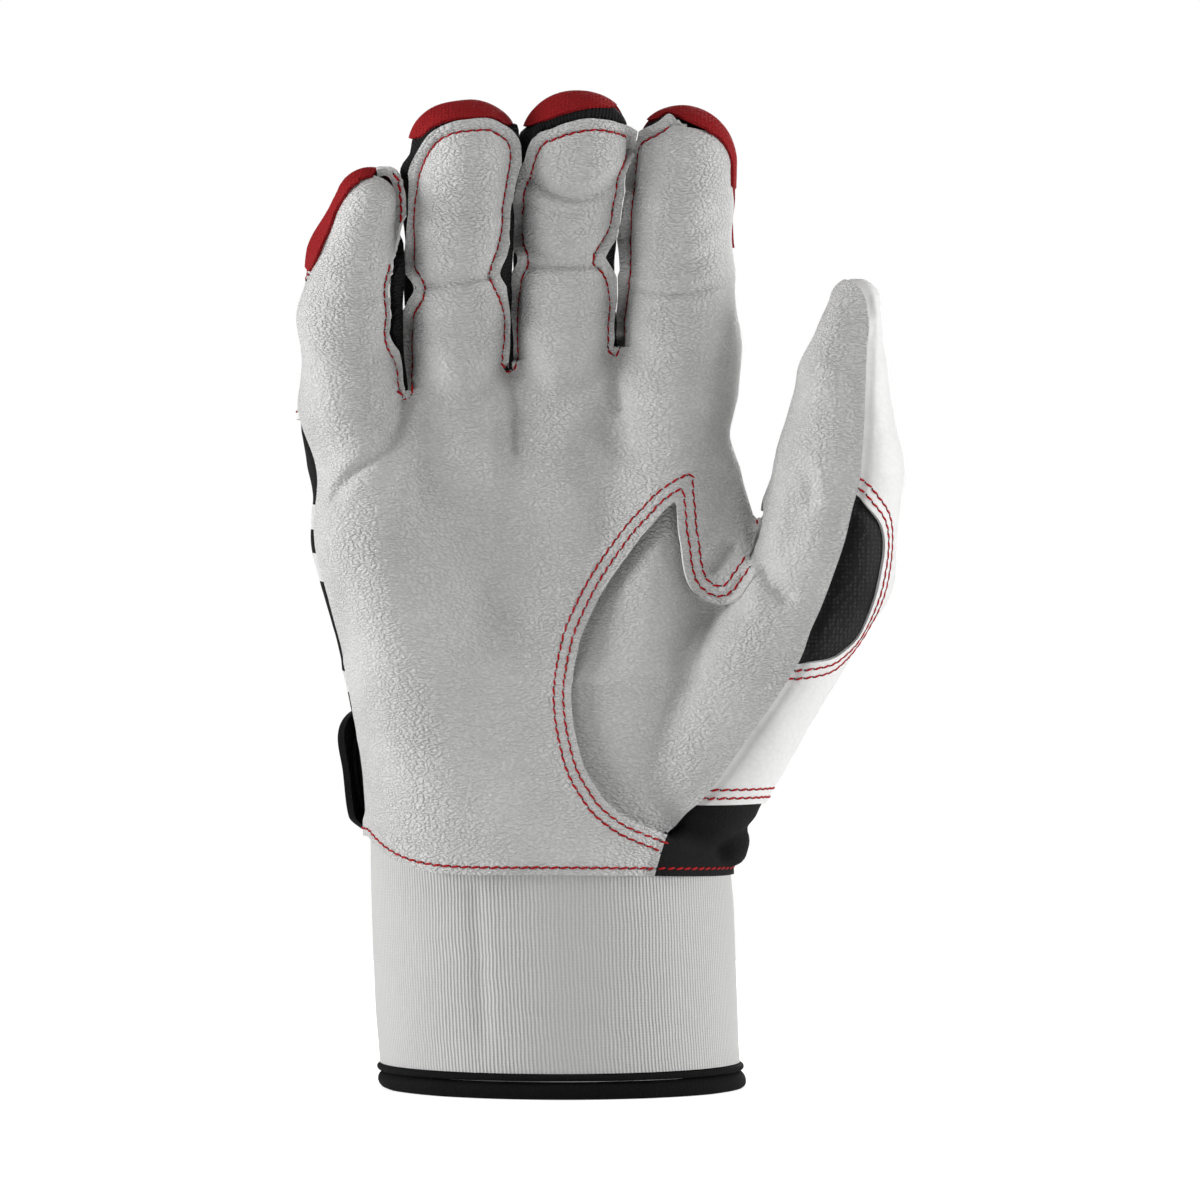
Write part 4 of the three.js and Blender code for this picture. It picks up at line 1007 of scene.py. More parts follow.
def cloth(name, colour, crown_highlight_colour, size_mm, relief_mm, roughness, stretch=(1, 1, 1), light=0.5):
    """Knitted or woven cloth: rounded loops in rows, whose crowns are painted lighter as highlights."""
    made, tree, shader = new_material(name, roughness)
    place = add_node(tree, "ShaderNodeTexCoord").outputs["Object"]
    laid = add_node(tree, "ShaderNodeMapping", {"Vector": place, "Scale": stretch})
    loops = add_node(tree, "ShaderNodeTexVoronoi", {
        "Vector": laid.outputs[0], "Scale": PER_MM / size_mm, "Randomness": 0.35}, feature="F1")
    crown = add_node(tree, "ShaderNodeMapRange", {
        "Value": loops.outputs["Distance"], "From Max": 0.62,
        "To Min": 1.0, "To Max": 0.0}, interpolation_type="SMOOTHSTEP")
    fuzz = add_node(tree, "ShaderNodeTexNoise", {
        "Vector": laid.outputs[0], "Scale": PER_MM / size_mm * 3, "Detail": 3.0})
    height = add_node(tree, "ShaderNodeMath", {0: fuzz.outputs[0], 1: 0.5, 2: crown.outputs[0]},
                      operation="MULTIPLY_ADD")
    emboss(tree, shader, height.outputs[0], 0.9, relief_mm, 0.25)
    # Painted highlight: the loops' crowns are lightened towards the highlight colour.
    share = add_node(tree, "ShaderNodeMath", {0: crown.outputs[0], 1: fuzz.outputs[0]}, operation="MULTIPLY")
    lit = add_node(tree, "ShaderNodeMath", {0: share.outputs[0], 1: light}, operation="MULTIPLY")
    dye(tree, shader, lit.outputs[0], linear(colour), linear(crown_highlight_colour))
    return made


BAR_HEIGHTS = [(91.6, 96.2), (115.6, 121.7), (127.0, 132.7)]  # of the white bars above the hem
BAR_DIP = 0.18  # how steeply the bars dip towards the thumb


def print_bars(material, colour, heights):
    """Plain bars printed across a cloth. They have their heights at the little finger's edge."""
    tree = material.node_tree
    shader = tree.nodes["Principled BSDF"]
    cloth_colour = shader.inputs["Base Color"].links[0].from_socket
    place = add_node(tree, "ShaderNodeTexCoord").outputs["Object"]
    axes = add_node(tree, "ShaderNodeSeparateXYZ", {0: place})
    level = add_node(tree, "ShaderNodeMath", {0: axes.outputs[0], 1: BAR_DIP, 2: axes.outputs[2]},
                     operation="MULTIPLY_ADD")
    slanted = -BAR_DIP * 0.55 * PALM_BREADTH
    printed = None
    for low, high in heights:
        middle, half = (low + high) / 2 + slanted, (high - low) / 2
        inside = add_node(tree, "ShaderNodeMath", {0: level.outputs[0], 1: middle * MM, 2: half * MM},
                          operation="COMPARE")
        if printed:
            inside = add_node(tree, "ShaderNodeMath", {0: inside.outputs[0], 1: printed}, operation="MAXIMUM")
        printed = inside.outputs[0]
    dye(tree, shader, printed, cloth_colour, linear(colour))


def rib_knit(name, colour, valley_shade_colour, pitch_mm, relief_mm, roughness):
    """Fine rib knit: columns of loops side by side, read from the piece's weave attribute in millimetres."""
    made, tree, shader = new_material(name, roughness)
    place = add_node(tree, "ShaderNodeAttribute", attribute_name="weave").outputs["Vector"]
    axes = add_node(tree, "ShaderNodeSeparateXYZ", {0: place})
    drift = add_node(tree, "ShaderNodeTexNoise", {"Vector": place, "Scale": 0.12, "Detail": 2.0})
    across = add_node(tree, "ShaderNodeMath", {0: drift.outputs[0], 1: 0.7, 2: axes.outputs[0]},
                      operation="MULTIPLY_ADD")
    turn = add_node(tree, "ShaderNodeMath", {0: across.outputs[0], 1: 2 * math.pi / pitch_mm},
                    operation="MULTIPLY")
    column = add_node(tree, "ShaderNodeMath", {0: turn.outputs[0]}, operation="SINE")
    row = add_node(tree, "ShaderNodeMath", {0: axes.outputs[1], 1: 2 * math.pi / KNIT_ROW_MM},
                   operation="MULTIPLY")
    stitch = add_node(tree, "ShaderNodeMath", {0: row.outputs[0]}, operation="SINE")
    fuzz = add_node(tree, "ShaderNodeTexNoise", {"Vector": place, "Scale": 2.2, "Detail": 4.0})
    loops = add_node(tree, "ShaderNodeMath", {0: stitch.outputs[0], 1: 0.12, 2: column.outputs[0]},
                     operation="MULTIPLY_ADD")
    height = add_node(tree, "ShaderNodeMath", {0: fuzz.outputs[0], 1: 1.6, 2: loops.outputs[0]},
                      operation="MULTIPLY_ADD")
    emboss(tree, shader, height.outputs[0], 0.7, relief_mm, 0.25)
    # Painted shade: the knit's low places between the ribs are darkened towards the shade colour.
    share = add_node(tree, "ShaderNodeMapRange", {
        "Value": height.outputs[0], "From Min": -0.6, "From Max": 2.0})
    dye(tree, shader, share.outputs[0], linear(valley_shade_colour), linear(colour))
    return made


# Tumbled goatskin, matt and off-white, with grey painted into the valleys of its grain as shade. The pebbles
# are as fine as the render shows, where real ones are about half as wide.
palm_leather = goatskin("goatskin_palm_tumbled_grain", "#e2e2e1", "#808080", 0.66, 0.42, 0.55)
# Finished goatskin, rolled nearly smooth: whiter, with a faint soft sheen, and faint painted shade in its
# grain's valleys.
back_leather = goatskin("goatskin_back_smooth", "#efefee", "#dededd", 1.4, 0.05, 0.5)
# The cut edge of the skin, undyed fibres that look dull and a little furry, with their crowns painted whiter
# as highlights.
raw_edge = cloth("goatskin_raw_cut_edge", "#f0efec", "#ffffff", 0.6, 0.1, 0.9)
# Rib-knit polyester: dull fine upright lines, with painted shade between them. The ribs are 0.75 mm apart, as
# fine as the render shows.
cuff_cloth = rib_knit("polyester_rib_knit_cuff", "#dededd", "#c0c0bf", 0.75, 0.1, 0.9)
# Ribbed stretch fabric between the fingers, whose ribs go round the finger and shade each other.
side_cloth = rib_knit("stretch_rib_side_panels", "#1d1d1f", "#060607", 0.85, 0.25, 0.85)
# Close stretch knit: near black, with small loops painted lighter as highlights where the light falls along
# it.
gusset_cloth = cloth("stretch_knit_gusset", "#0d0d0e", "#333336", 0.55, 0.1, 0.85, stretch=(1, 1, 1.3))
# Stretch mesh with raised dots, whose shine is painted on in rows as lighter highlights.
dot_mesh = cloth("stretch_dot_mesh", "#0c0c0d", "#4c4c4e", 0.95, 0.16, 0.7, light=0.7)
# The same knit as the gusset's, with flat off-white bars printed on it.
barred_cloth = cloth("stretch_knit_printed_bars", "#0d0d0e", "#333336", 0.55, 0.1, 0.85, stretch=(1, 1, 1.3))
print_bars(barred_cloth, "#dcdcdc", BAR_HEIGHTS)
# Coated fabric pressed with small pebbles: deep red, with the pebbles' crowns painted lighter as highlights.
red_cloth = cloth("red_pebbled_tip_fabric", "#940b12", "#c41c23", 0.8, 0.3, 0.75)
# Folded bias tape, woven and quite dull, with faint painted highlights on its weave.
binding_cloth = cloth("bias_binding_black", "#030304", "#101012", 0.6, 0.1, 0.9)
# Nylon brushed into a soft nap, whose greying sheen is painted on the loops' crowns as highlights.
strap_cloth = cloth("brushed_nylon_strap", "#0f0f11", "#2a2a2d", 0.5, 0.12, 0.85)
# Moulded rubber, smooth and a little shinier than the strap, with faint painted highlights.
badge_rubber = cloth("moulded_rubber_badge", "#161618", "#232327", 1.6, 0.05, 0.45)
# Twisted polyester thread, whose strands are painted a little lighter as highlights where they catch the
# light.
red_thread = cloth("polyester_thread_red", "#b00c15", "#cf2028", 0.25, 0.05, 0.5)
black_thread = cloth("polyester_thread_black", "#1a1a1b", "#3c3c3e", 0.25, 0.05, 0.55)


# Sheets that the panels are cut from
LITTLE_SIDE_SEAM_SHARES = [  # up the palm's length, and across its depth
    (0, -0.065), (0.25, -0.13), (0.39, -0.26), (0.66, -0.31), (0.85, -0.24), (0.91, -0.19), (0.98, -0.08)]
little_side_seam = [(CUFF_HEIGHT + up * PALM_LENGTH, depth * PALM_DEPTH)
                    for up, depth in LITTLE_SIDE_SEAM_SHARES]
thumb_side_seam = [(0.25 * THUMB_SPREAD, -0.04 * PALM_DEPTH), (0.8 * THUMB_SPREAD, -0.2 * PALM_DEPTH)]
FOREFINGER_SEAM_BACK = 6  # how much farther back the seam lies below the forefinger
FOREFINGER_SEAM_LOW, FOREFINGER_SEAM_SPAN = 122, (10, 50)


def side_seam(p):
    """How deep the seam between palm and back lies at the hand's sides."""
    x, z = p[:, 0], p[:, 2]
    left, right = FOREFINGER_SEAM_SPAN
    little = smooth(-x / (0.3 * PALM_BREADTH))
    forefinger = smooth((z - FOREFINGER_SEAM_LOW) / 16) * smooth((x - left) / 15) * smooth((right - x) / 10)
    thumbward = on_line(thumb_side_seam, x) + FOREFINGER_SEAM_BACK * forefinger
    return mix(thumbward, on_line(little_side_seam, z), little)


def on_palm_side(p):
    """Positive on the palm's side of the seam at the hand's sides."""
    return side_seam(p) - p[:, 1]


THUMB_FOLD = CUFF_HEIGHT + 0.8 * PALM_LENGTH


def on_thumb(p):
    """Positive beyond the line about which the thumb folds."""
    above = (p - thumb_middle) @ thumb_up - (THUMB_FOLD - thumb_middle[2])
    return np.minimum(above, p[:, 0] - 0.735 * THUMB_SPREAD)


def stitched_part(p):
    """Where the finger fronts' seam is a row of stitches that shows."""
    across, down = seen(p).T
    left, right = FRONT_SEAM_SPAN
    bare_right, bare_middle, bare_half = BARE_SEAM
    bare = (across < bare_right) & (np.abs(down - bare_middle) < bare_half)
    return (across > left) & (across < right) & ~bare & (p[:, 1] < side_seam(p))


def put(piece, body, node, slot, far_body=None, start=None, end=None):
    """Hides the part in model.glb that a finished piece stands for, and hangs the piece on its body. A piece
    with a far body only has its place baked in, and is hung on no body. The slot is not used. Start and end
    are not used."""
    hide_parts(node)
    if far_body:
        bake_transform(piece)
    else:
        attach(piece, body)


BEND_LENGTH = 13  # over which a finger's panels bend at the knuckle
CAP_ROWS = (1.2, 2.9)  # of stitches, below the cap
CAP_STANDS_OFF = 0.9
LITTLE_FABRIC_SINKS = 1.5
SUNK_BESIDE_LEATHER = LEATHER + 1
FABRIC_PUFF = 1.7
LEATHER_WRAP = 0.2  # how far the little finger's seam stands off its side


def make_finger(name):
    """Makes a finger's four panels and its stitches, and gives how they bend."""
    chain = CHAINS[name]
    points = np.array(chain["points"])
    field = finger_skin(name)
    reach = chain["width"]
    tube = skin_of(field, points.min(0) - reach, points.max(0) + reach)
    knuckle_radius = chain["radii"][0]

    def radius_at(place):
        return np.interp(place, range(4), chain["radii"])

    def before_outer_seam(p):
        """Positive in front of the seam at the outer side, or of the middle."""
        place, beyond, side, depth, run = in_finger(chain, p)
        return outer_seam_depth(chain, run + beyond, side, radius_at(place)) - depth

    def on_back(p):
        """Positive on the white back, which ends on a line beside the front's margin and at the tip."""
        place, beyond, side, depth, run = in_finger(chain, p)
        radius = radius_at(place)
        outward = side * chain["outer"]
        outer = smooth(outward / (0.5 * radius))
        behind_seam = depth - outer_seam_depth(chain, run + beyond, side, radius)
        aside = np.hypot(np.where(outward > 0, 0, side), beyond)
        behind = np.maximum(behind_seam, -front_leather(p) - 50 * (1 - outer))
        back = np.minimum(BACK_SEAM_SHARE * radius - aside + 3 * radius * outer, behind)
        across = smooth(side / radius / 2 + 0.5)
        strip = MARGIN + mix(*chain["strip"], across)
        over = run + beyond - chain["length"] - mix(*chain["over"], across) * radius
        return np.maximum(back, np.minimum(-front_leather(p) - strip, over))

    def on_cap(p):
        """Positive on the part of the back that the cap covers."""
        _, beyond, _, _, run = in_finger(chain, p)
        return run + beyond - (1 - chain["cap"]) * chain["length"]

    def beside_front(p):
        """Positive beyond the front leather."""
        return -np.minimum(before_outer_seam(p), front_leather(p))

    def foot(p):
        """Positive on the finger, and on the front from a little below the knuckles."""
        return above_knuckles(p) + 5 * smooth(on_palm_side(p) / 2)

    def weave(p):
        """Places along the finger and round it, on which the ribs are laid."""
        _, beyond, side, depth, run = in_finger(chain, p)
        return np.stack([run + knuckle_radius * np.arctan2(beyond, np.abs(side)), depth, 0 * run], 1)

    def tip_lift(p, normals):
        """The fabric beside the tip stands out on the little finger's side."""
        above = smooth((TIP_LIFT_LOW - seen(p)[:, 1]) / TIP_LIFT_FADE)
        return chain["lift"] * smooth(-normals[:, 0]) * above

    def side_relief(p, normals):
        """The fabric is drawn in under the leather's edge, and puffs out into the gap between two fingers."""
        away = to_nearest(p, leather_edge)
        clear = smooth((away - 1.5) / 2)
        under_leather = SUNK_BESIDE_LEATHER * (1 - smooth((away - MARGIN + 0.3) / 1.2))
        gap = np.min([skin(p) for other, skin in finger_skins.items() if other != name], axis=0)
        puffed = (np.clip(gap / 2 - 0.2, 0, FABRIC_PUFF) * (1 - smooth((gap - 5) / 3))
                  * smooth(-on_back(p) / 1.2))
        puffed *= mix(*chain["fill"], smooth(normals[:, 0] + 0.5)) * clear
        if name == "pinky":
            below_tip = smooth((seen(p)[:, 1] - LITTLE_TIP_LOW) / LITTLE_TIP_FADE)
            puffed *= below_tip
            under_leather += LITTLE_FABRIC_SINKS * (1 - below_tip)
        return leather_relief(p, normals) - under_leather + puffed + tip_lift(p, normals) * clear

    def cap_relief(p, normals):
        return CAP_STANDS_OFF + leather_relief(p, normals) + tip_lift(p, normals)

    upper = clip(tube, above_knuckles(tube.points))
    front = cut(upper, before_outer_seam, front_leather, mark=FRONT_EDGE)
    leather_edge = front.points[front.marks & FRONT_EDGE > 0]
    sides = cut(tube, foot, beside_front, lambda p: -on_back(p))
    back = cut(upper, on_back)
    cap, base = cut(back, on_cap), cut(back, lambda p: -on_cap(p))
    highest = max(on_line(KNUCKLE_LINE, points[0, 0] + k * (knuckle_radius + 2)) for k in (-1, 1))
    start = np.array([points[0, 0], points[0, 1], highest + 0.5])
    bend = dict(far_body=name, start=tuple(start * MM), end=tuple((start + [0, 0, BEND_LENGTH]) * MM))
    seam = sew(name, cut(upper, before_outer_seam), field, front_leather, finger_relief, stitched_part)
    if name == "pinky":
        # Beside its tip the leather wraps round the side, and the seam lies on the margin alone.
        rim = front.points[np.unique(rim_of(front.faces))]
        wrapped = (front_leather(rim) > 0.3) & (above_knuckles(rim) > 3) & stitched_part(rim)
        seam = np.concatenate([seam, rim[wrapped]])
        top, low = LITTLE_WRAP_SPAN
        run = finger_runs[name]
        run = run[(run[:, 1] > top) & (run[:, 1] < low)]
        path = placed(run, depth_beside(run, seam) - LEATHER_WRAP)
        thread_runs[name].append((path, np.tile([0, -1.0, 0], (len(path), 1))))
    margins = [margin(name, seam, above_knuckles)]
    put(panel(name + "_front_leather", front, field, LEATHER, palm_leather, finger_relief, raw_edge, margins),
        "hand", name + "_front", "palm_leather", **bend)
    put(panel(name + "_side_fabric", sides, field, STRETCH_FABRIC, side_cloth, side_relief, weave=weave),
        "hand", name + "_side_panel", "black_stretch", **bend)
    put(panel(name + "_tip_fabric", cap, field, STRETCH_FABRIC, red_cloth, cap_relief),
        "hand", name + "_tip_cap", "red_fabric", **bend)
    put(panel(name + "_back_leather", base, field, LEATHER, back_leather),
        "hand", name + "_back", "back_leather", **bend)
    for row in CAP_ROWS:
        sew(name, base, field, lambda p: -on_cap(p) - row, leather_relief)
    return bend


bends = {name: make_finger(name) for name in CHAINS}


# The body of the glove
body_low = (-0.62 * PALM_BREADTH, -1.2 * PALM_DEPTH, CUFF_HEIGHT - 10)
body_high = (THUMB_SPREAD + THUMB_WIDTH, 1.2 * PALM_DEPTH, thumb_points[-1][2] + THUMB_WIDTH / 2)
skin = skin_of(hand_skin, body_low, body_high)
hand = cut(skin, lambda p: -np.maximum(above_knuckles(p), on_thumb(p)),
           lambda p: LEATHER_OVERLAP - on_cuff(p))
thumb = clip(skin, on_thumb(skin.points))

TUCK = 0.7  # how far a panel runs under its neighbour
MESH_BACK = -8.5  # where the mesh ends, at the thumb's widest line
GUSSET_TOP = CUFF_HEIGHT + 0.12 * PALM_LENGTH
YOKE_LOW = CUFF_HEIGHT + 0.8 * PALM_LENGTH
BACK_SPLIT = [(CUFF_HEIGHT, 0.2 * CUFF_WIDTH), (YOKE_LOW, 0.36 * CUFF_WIDTH)]
EDGE_ROW = 1.6  # from a panel's edge to its row of stitches
DOUBLE_ROW = (1.5, 3.4)
HEM_ROW = 1.7
PAD_BEGINS, BACK_TUCK = 1.2, 0.8  # inside the pad's outer row, and under the thumb's front leather
THUMB_BEND = (0.6, 14)  # from where to where the thumb's panels bend beyond the fold


def behind_thumb_edge(p):
    """Positive behind the thumb's edge and the seam at the hand's sides."""
    return -np.minimum(before_thumb_edge(p), on_palm_side(p))


def tucked(relief):
    """A panel's relief that follows the palm leather down under its edge."""
    def with_edge(p, normals):
        leather = np.where(pad(p) > PAD_EDGE, pad_relief(p, normals), palm_relief(p, normals))
        beyond_edge = smooth((behind_thumb_edge(p) - 0.2) / 2.2)
        return mix(leather - LEATHER - 0.25, relief(p, normals), beyond_edge)
    return with_edge


def under(seam):
    """A seam that lets a panel run a little way under its neighbour."""
    return lambda p: seam(p) + TUCK


def stepped(seam, height):
    """Plain relief that raises a panel's edge, or sinks it below the leather that overlaps it."""
    def relief(p, normals):
        edge = 1 - smooth((seam(p) - 0.5) / 3)
        return leather_relief(p, normals) + height * edge + CUFF_LAP * over_cuff(p)
    return tucked(relief)


def sunk(seam, depth=0.5):
    return stepped(seam, -depth)


def raised(seam, height=0.35):
    return stepped(seam, height)


def yoke(p):
    """Positive on the leather over the knuckles, whose lower edge is a shallow V."""
    return p[:, 2] - YOKE_LOW - 0.2 * np.abs(p[:, 0])


def back_split(p):
    """Positive on the thumb's side of the line that parts the back in two."""
    return p[:, 0] - on_line(BACK_SPLIT, p[:, 2])


def mesh_part(p):
    """Positive on the mesh beside the thumb."""
    return np.minimum(inside_outline(seen(p), mesh_outline), MESH_BACK - p[:, 1])


def gusset(p):
    """Positive on the gusset at the thumb's side of the wrist."""
    return np.minimum(GUSSET_TOP - p[:, 2], back_split(p))


def pad_stitched(p):
    """Where the double row round the pad shows, from the wrist to the web."""
    down = seen(p)[:, 1]
    return (down < PAD_ROW_LOW) & (at_web(p) < 0.5 + (down < WEB_ROW_LOW))


palm_part = cut(hand, on_palm_side, before_thumb_edge)
palm = cut(palm_part, lambda p: pad_edge(p) - pad(p), front_leather)
pad_sheet = cut(palm_part, lambda p: pad(p) - PAD_BEGINS)
crotch_seams = sew("hand", palm_part, hand_skin, front_leather, palm_relief, stitched_part)
margins = [margin(name, crotch_seams, lambda p: -above_knuckles(p)) for name in FINGERS]
put(panel("palm_leather", palm, hand_skin, LEATHER, palm_leather, palm_relief, raw_edge, margins),
    "hand", "palm_panel", "palm_leather")
put(panel("thumb_pad_leather", pad_sheet, hand_skin, LEATHER, palm_leather, pad_relief),
    "hand", "thumb_pad_panel", "palm_leather")
for row in (0, PAD_ROWS):
    sew("hand", palm_part, hand_skin, lambda p: pad(p) - row, palm_relief, pad_stitched)

back_part = clip(hand, behind_thumb_edge(hand.points) + BACK_TUCK)
yoke_part = cut(back_part, yoke, lambda p: -back_split(p))
put(panel("knuckle_yoke_leather", yoke_part, hand_skin, LEATHER, back_leather, raised(yoke)),
    "hand", "back_yoke", "back_leather")
sew("hand", yoke_part, hand_skin, lambda p: yoke(p) - EDGE_ROW, raised(yoke))
back_fabric = cut(back_part, lambda p: TUCK - yoke(p), lambda p: TUCK - back_split(p))
put(panel("back_stretch_fabric", back_fabric, hand_skin, STRETCH_FABRIC, barred_cloth,
          sunk(lambda p: np.minimum(-yoke(p), -back_split(p)))),
    "hand", "back_panel", "black_stretch")
put(panel("wrist_gusset_fabric", cut(back_part, under(gusset)), hand_skin, STRETCH_FABRIC, gusset_cloth,
          sunk(gusset)),
    "hand", "wrist_gusset", "black_stretch")
side_leather = cut(back_part, back_split, lambda p: -gusset(p), lambda p: -mesh_part(p), mark=MESH_EDGE)
thumb_side_relief = raised(lambda p: np.minimum(np.minimum(-gusset(p), -mesh_part(p)), back_split(p)))
put(panel("thumb_side_leather", side_leather, hand_skin, LEATHER, back_leather, thumb_side_relief),
    "hand", "thumb_side_panel", "back_leather")
put(panel("thumb_stretch_mesh", cut(back_part, under(mesh_part)), hand_skin, STRETCH_FABRIC, dot_mesh,
          sunk(mesh_part, 0.7)),
    "hand", "thumb_stretch_panel", "black_mesh")

mesh_edge = side_leather.points[side_leather.marks & MESH_EDGE > 0]
for row in DOUBLE_ROW:
    sew("hand", side_leather, hand_skin, lambda p: to_nearest(p, mesh_edge) - row, thumb_side_relief)
    sew("hand", side_leather, hand_skin, lambda p: p[:, 2] - GUSSET_TOP - row, thumb_side_relief)
sew("hand", side_leather, hand_skin, lambda p: back_split(p) - EDGE_ROW, thumb_side_relief,
    lambda p: p[:, 2] > STRAP_LOW + STRAP_HEIGHT + 2)
for part, relief in ((palm, palm_relief), (pad_sheet, pad_relief), (back_part, sunk(gusset, 0))):
    sew("hand", part, hand_skin, lambda p: p[:, 2] - cuff_seam(p) + LEATHER_OVERLAP - HEM_ROW, relief)

fold_point = thumb_middle + (THUMB_FOLD - thumb_middle[2]) * thumb_up
thumb_bend = dict(far_body="thumb", start=tuple((fold_point + THUMB_BEND[0] * thumb_up) * MM),
                  end=tuple((fold_point + THUMB_BEND[1] * thumb_up) * MM))
thumb_front = cut(thumb, on_palm_side, before_thumb_edge)
put(panel("thumb_front_leather", thumb_front, hand_skin, LEATHER, palm_leather, leather_relief),
    "hand", "thumb_front", "palm_leather", **thumb_bend)
put(panel("thumb_back_leather", cut(thumb, under(behind_thumb_edge)), hand_skin, LEATHER, back_leather,
          tucked(leather_relief)),
    "hand", "thumb_back", "back_leather", **thumb_bend)


# The cuff and its hem
CUFF_SIDES, CUFF_ROWS = 300, 44
BAND_SHARP_ANGLE = 50
PIPING_SINKS, PIPING_BULGE, PIPING_SIDES = 0.3, 1.1, 9


def cuff_outline(z, off):
    """A ring round the cuff at a height, stood off from it."""
    turn = 2 * math.pi * np.arange(CUFF_SIDES) / CUFF_SIDES
    return np.stack([cuff_centre(z) + (CUFF_WIDTH / 2 + off) * np.cos(turn),
                     (CUFF_DEPTH / 2 + off) * np.sin(turn), np.full(CUFF_SIDES, float(z))], 1)


def band(name, profile, finish, lift=None, relief=None):
    """A closed ring through a profile of heights and stand-offs that goes up outside and down inside."""
    rings = []
    for z, off in profile:
        ring = cuff_outline(z, off)
        if relief is not None:
            way = np.stack([ring[:, 0] - cuff_centre(z), ring[:, 1] * 2, 0 * ring[:, 0]], 1)
            ring = ring + unit(way) * relief(ring)[:, None]
        if lift is not None:
            ring[:, 2] += lift(ring)
        rings.append(ring)
    points = np.concatenate(rings)
    count = len(rings)
    r, i = lattice(np.arange(count), np.arange(CUFF_SIDES)).T
    j, up = (i + 1) % CUFF_SIDES, (r + 1) % count
    a, b, c, d = r * CUFF_SIDES + i, r * CUFF_SIDES + j, up * CUFF_SIDES + j, up * CUFF_SIDES + i
    mesh = bpy.data.meshes.new(name)
    mesh.from_pydata((points * MM).tolist(), [], np.stack([a, b, c, d], 1).tolist())
    arc = math.pi * (CUFF_WIDTH + CUFF_DEPTH) / 2 / CUFF_SIDES
    around = np.tile(np.arange(CUFF_SIDES) * arc, count)
    note_vectors(mesh, "weave", np.stack([around, points[:, 2], 0 * around], 1))
    mesh.materials.append(finish)
    mesh.shade_smooth()
    mesh.set_sharp_from_angle(angle=math.radians(BAND_SHARP_ANGLE))
    return linked(name, mesh)


cuff_low = HEM_HEIGHT + PIPING_HEIGHT + 2 * SEAM_GAP
cuff_rows = np.linspace(cuff_low, CUFF_HEIGHT + 0.6, CUFF_ROWS)


def cuff_lift(ring):
    """The cuff's upper edge follows the slanting seam."""
    share = (ring[:, 2] - cuff_low) / (CUFF_HEIGHT - cuff_low)
    return np.clip(share, 0, 1) * (cuff_seam(ring) - CUFF_HEIGHT)


def cuff_folds(ring):
    """Soft waves up the cuff, and the crease that shows on its front."""
    fade = smooth((ring[:, 2] - cuff_low) / 12) * smooth((CUFF_HEIGHT - ring[:, 2]) / 10)
    across, down = (seen(ring) - CUFF_CREASE).T
    crease = np.exp(-((across - CUFF_CREASE_LEAN * down) / CUFF_CREASE_WIDTH) ** 2) * (ring[:, 1] < 0)
    stretched = ring * np.array([1, 1, 0.35])
    return fade * (0.45 * waves(stretched, 26, 8) - 0.5 * crease)


put(band("cuff_rib_knit", [*((z, 0) for z in cuff_rows), *((z, -CUFF_WALL) for z in cuff_rows[::-1])],
         cuff_cloth, cuff_lift, cuff_folds), "hand", "cuff", "cuff_knit")
round_piping = [(0.5 + 0.5 * math.cos(a), math.sin(a))
                for a in np.linspace(-math.pi / 2, math.pi / 2, PIPING_SIDES)]
piping_middle, piping_half = HEM_HEIGHT + SEAM_GAP + PIPING_HEIGHT / 2, 0.5 * PIPING_HEIGHT
piping_profile = [*((piping_middle + piping_half * up, PIPING_BULGE * out - PIPING_SINKS)
                    for out, up in round_piping),
                  (piping_middle + piping_half, -CUFF_WALL), (piping_middle - piping_half, -CUFF_WALL)]
put(band("hem_piping_cord", piping_profile, binding_cloth), "hand", "hem_piping", "black_binding")
hem_profile = [(0, -HEM_ROUND), (0.12, -0.3), (0.5, 0.4), (1.1, 0.8), (1.95, 0.95), (2.8, 0.8), (3.4, 0.4),
               (3.75, -0.1), (HEM_HEIGHT, -0.6), (HEM_HEIGHT, -CUFF_WALL), (0.4, -CUFF_WALL),
               (0, -CUFF_WALL + 0.3)]
put(band("hem_bias_binding", hem_profile, binding_cloth, relief=lambda ring: 0.12 * waves(ring, 9, 9)),
    "hand", "hem_binding", "black_binding")


# The closure strap, in layers over the back of the wrist
FREE_END_LIFT, LOW_EDGE_PRESS, LOW_EDGE_WIDTH = 1.1, 1.9, 4.5
ANCHOR_GAP, ANCHOR_DROP, ANCHOR_SLOPE = 0.3, 2.2, 8
BADGE_CORNER = 5
STRAP_ROW = 2  # from the strap's edge to its stitches
STRAP_BEND = 9  # over which the strap bends at its root
STRAP_FOLD_DEPTH = 25
strap_middle = STRAP_LOW + STRAP_HEIGHT / 2


def strap_shape(root, margin):
    """Positive inside the strap's outline, less a margin. Its free end wraps round the little finger's side,
    with round corners."""
    half = STRAP_HEIGHT / 2 - margin
    corner = max(STRAP_CORNER - margin, margin)

    def shape(p):
        to_root, off_middle, far = root - p[:, 0], np.abs(p[:, 2] - strap_middle), p[:, 0] < 0
        free = np.where(far, p[:, 1] + STRAP_WRAP - margin, STRAP_CORNER + p[:, 1])
        past = np.maximum(0, corner - np.minimum(free, np.where(far, 1e3, to_root + STRAP_CORNER)))
        high = np.maximum(0, off_middle - (half - corner))
        return np.minimum(np.minimum(corner - np.hypot(past, high), half - off_middle), to_root)
    return shape


def flat(p, normals):
    """No relief."""
    return 0.0 * p[:, 0]


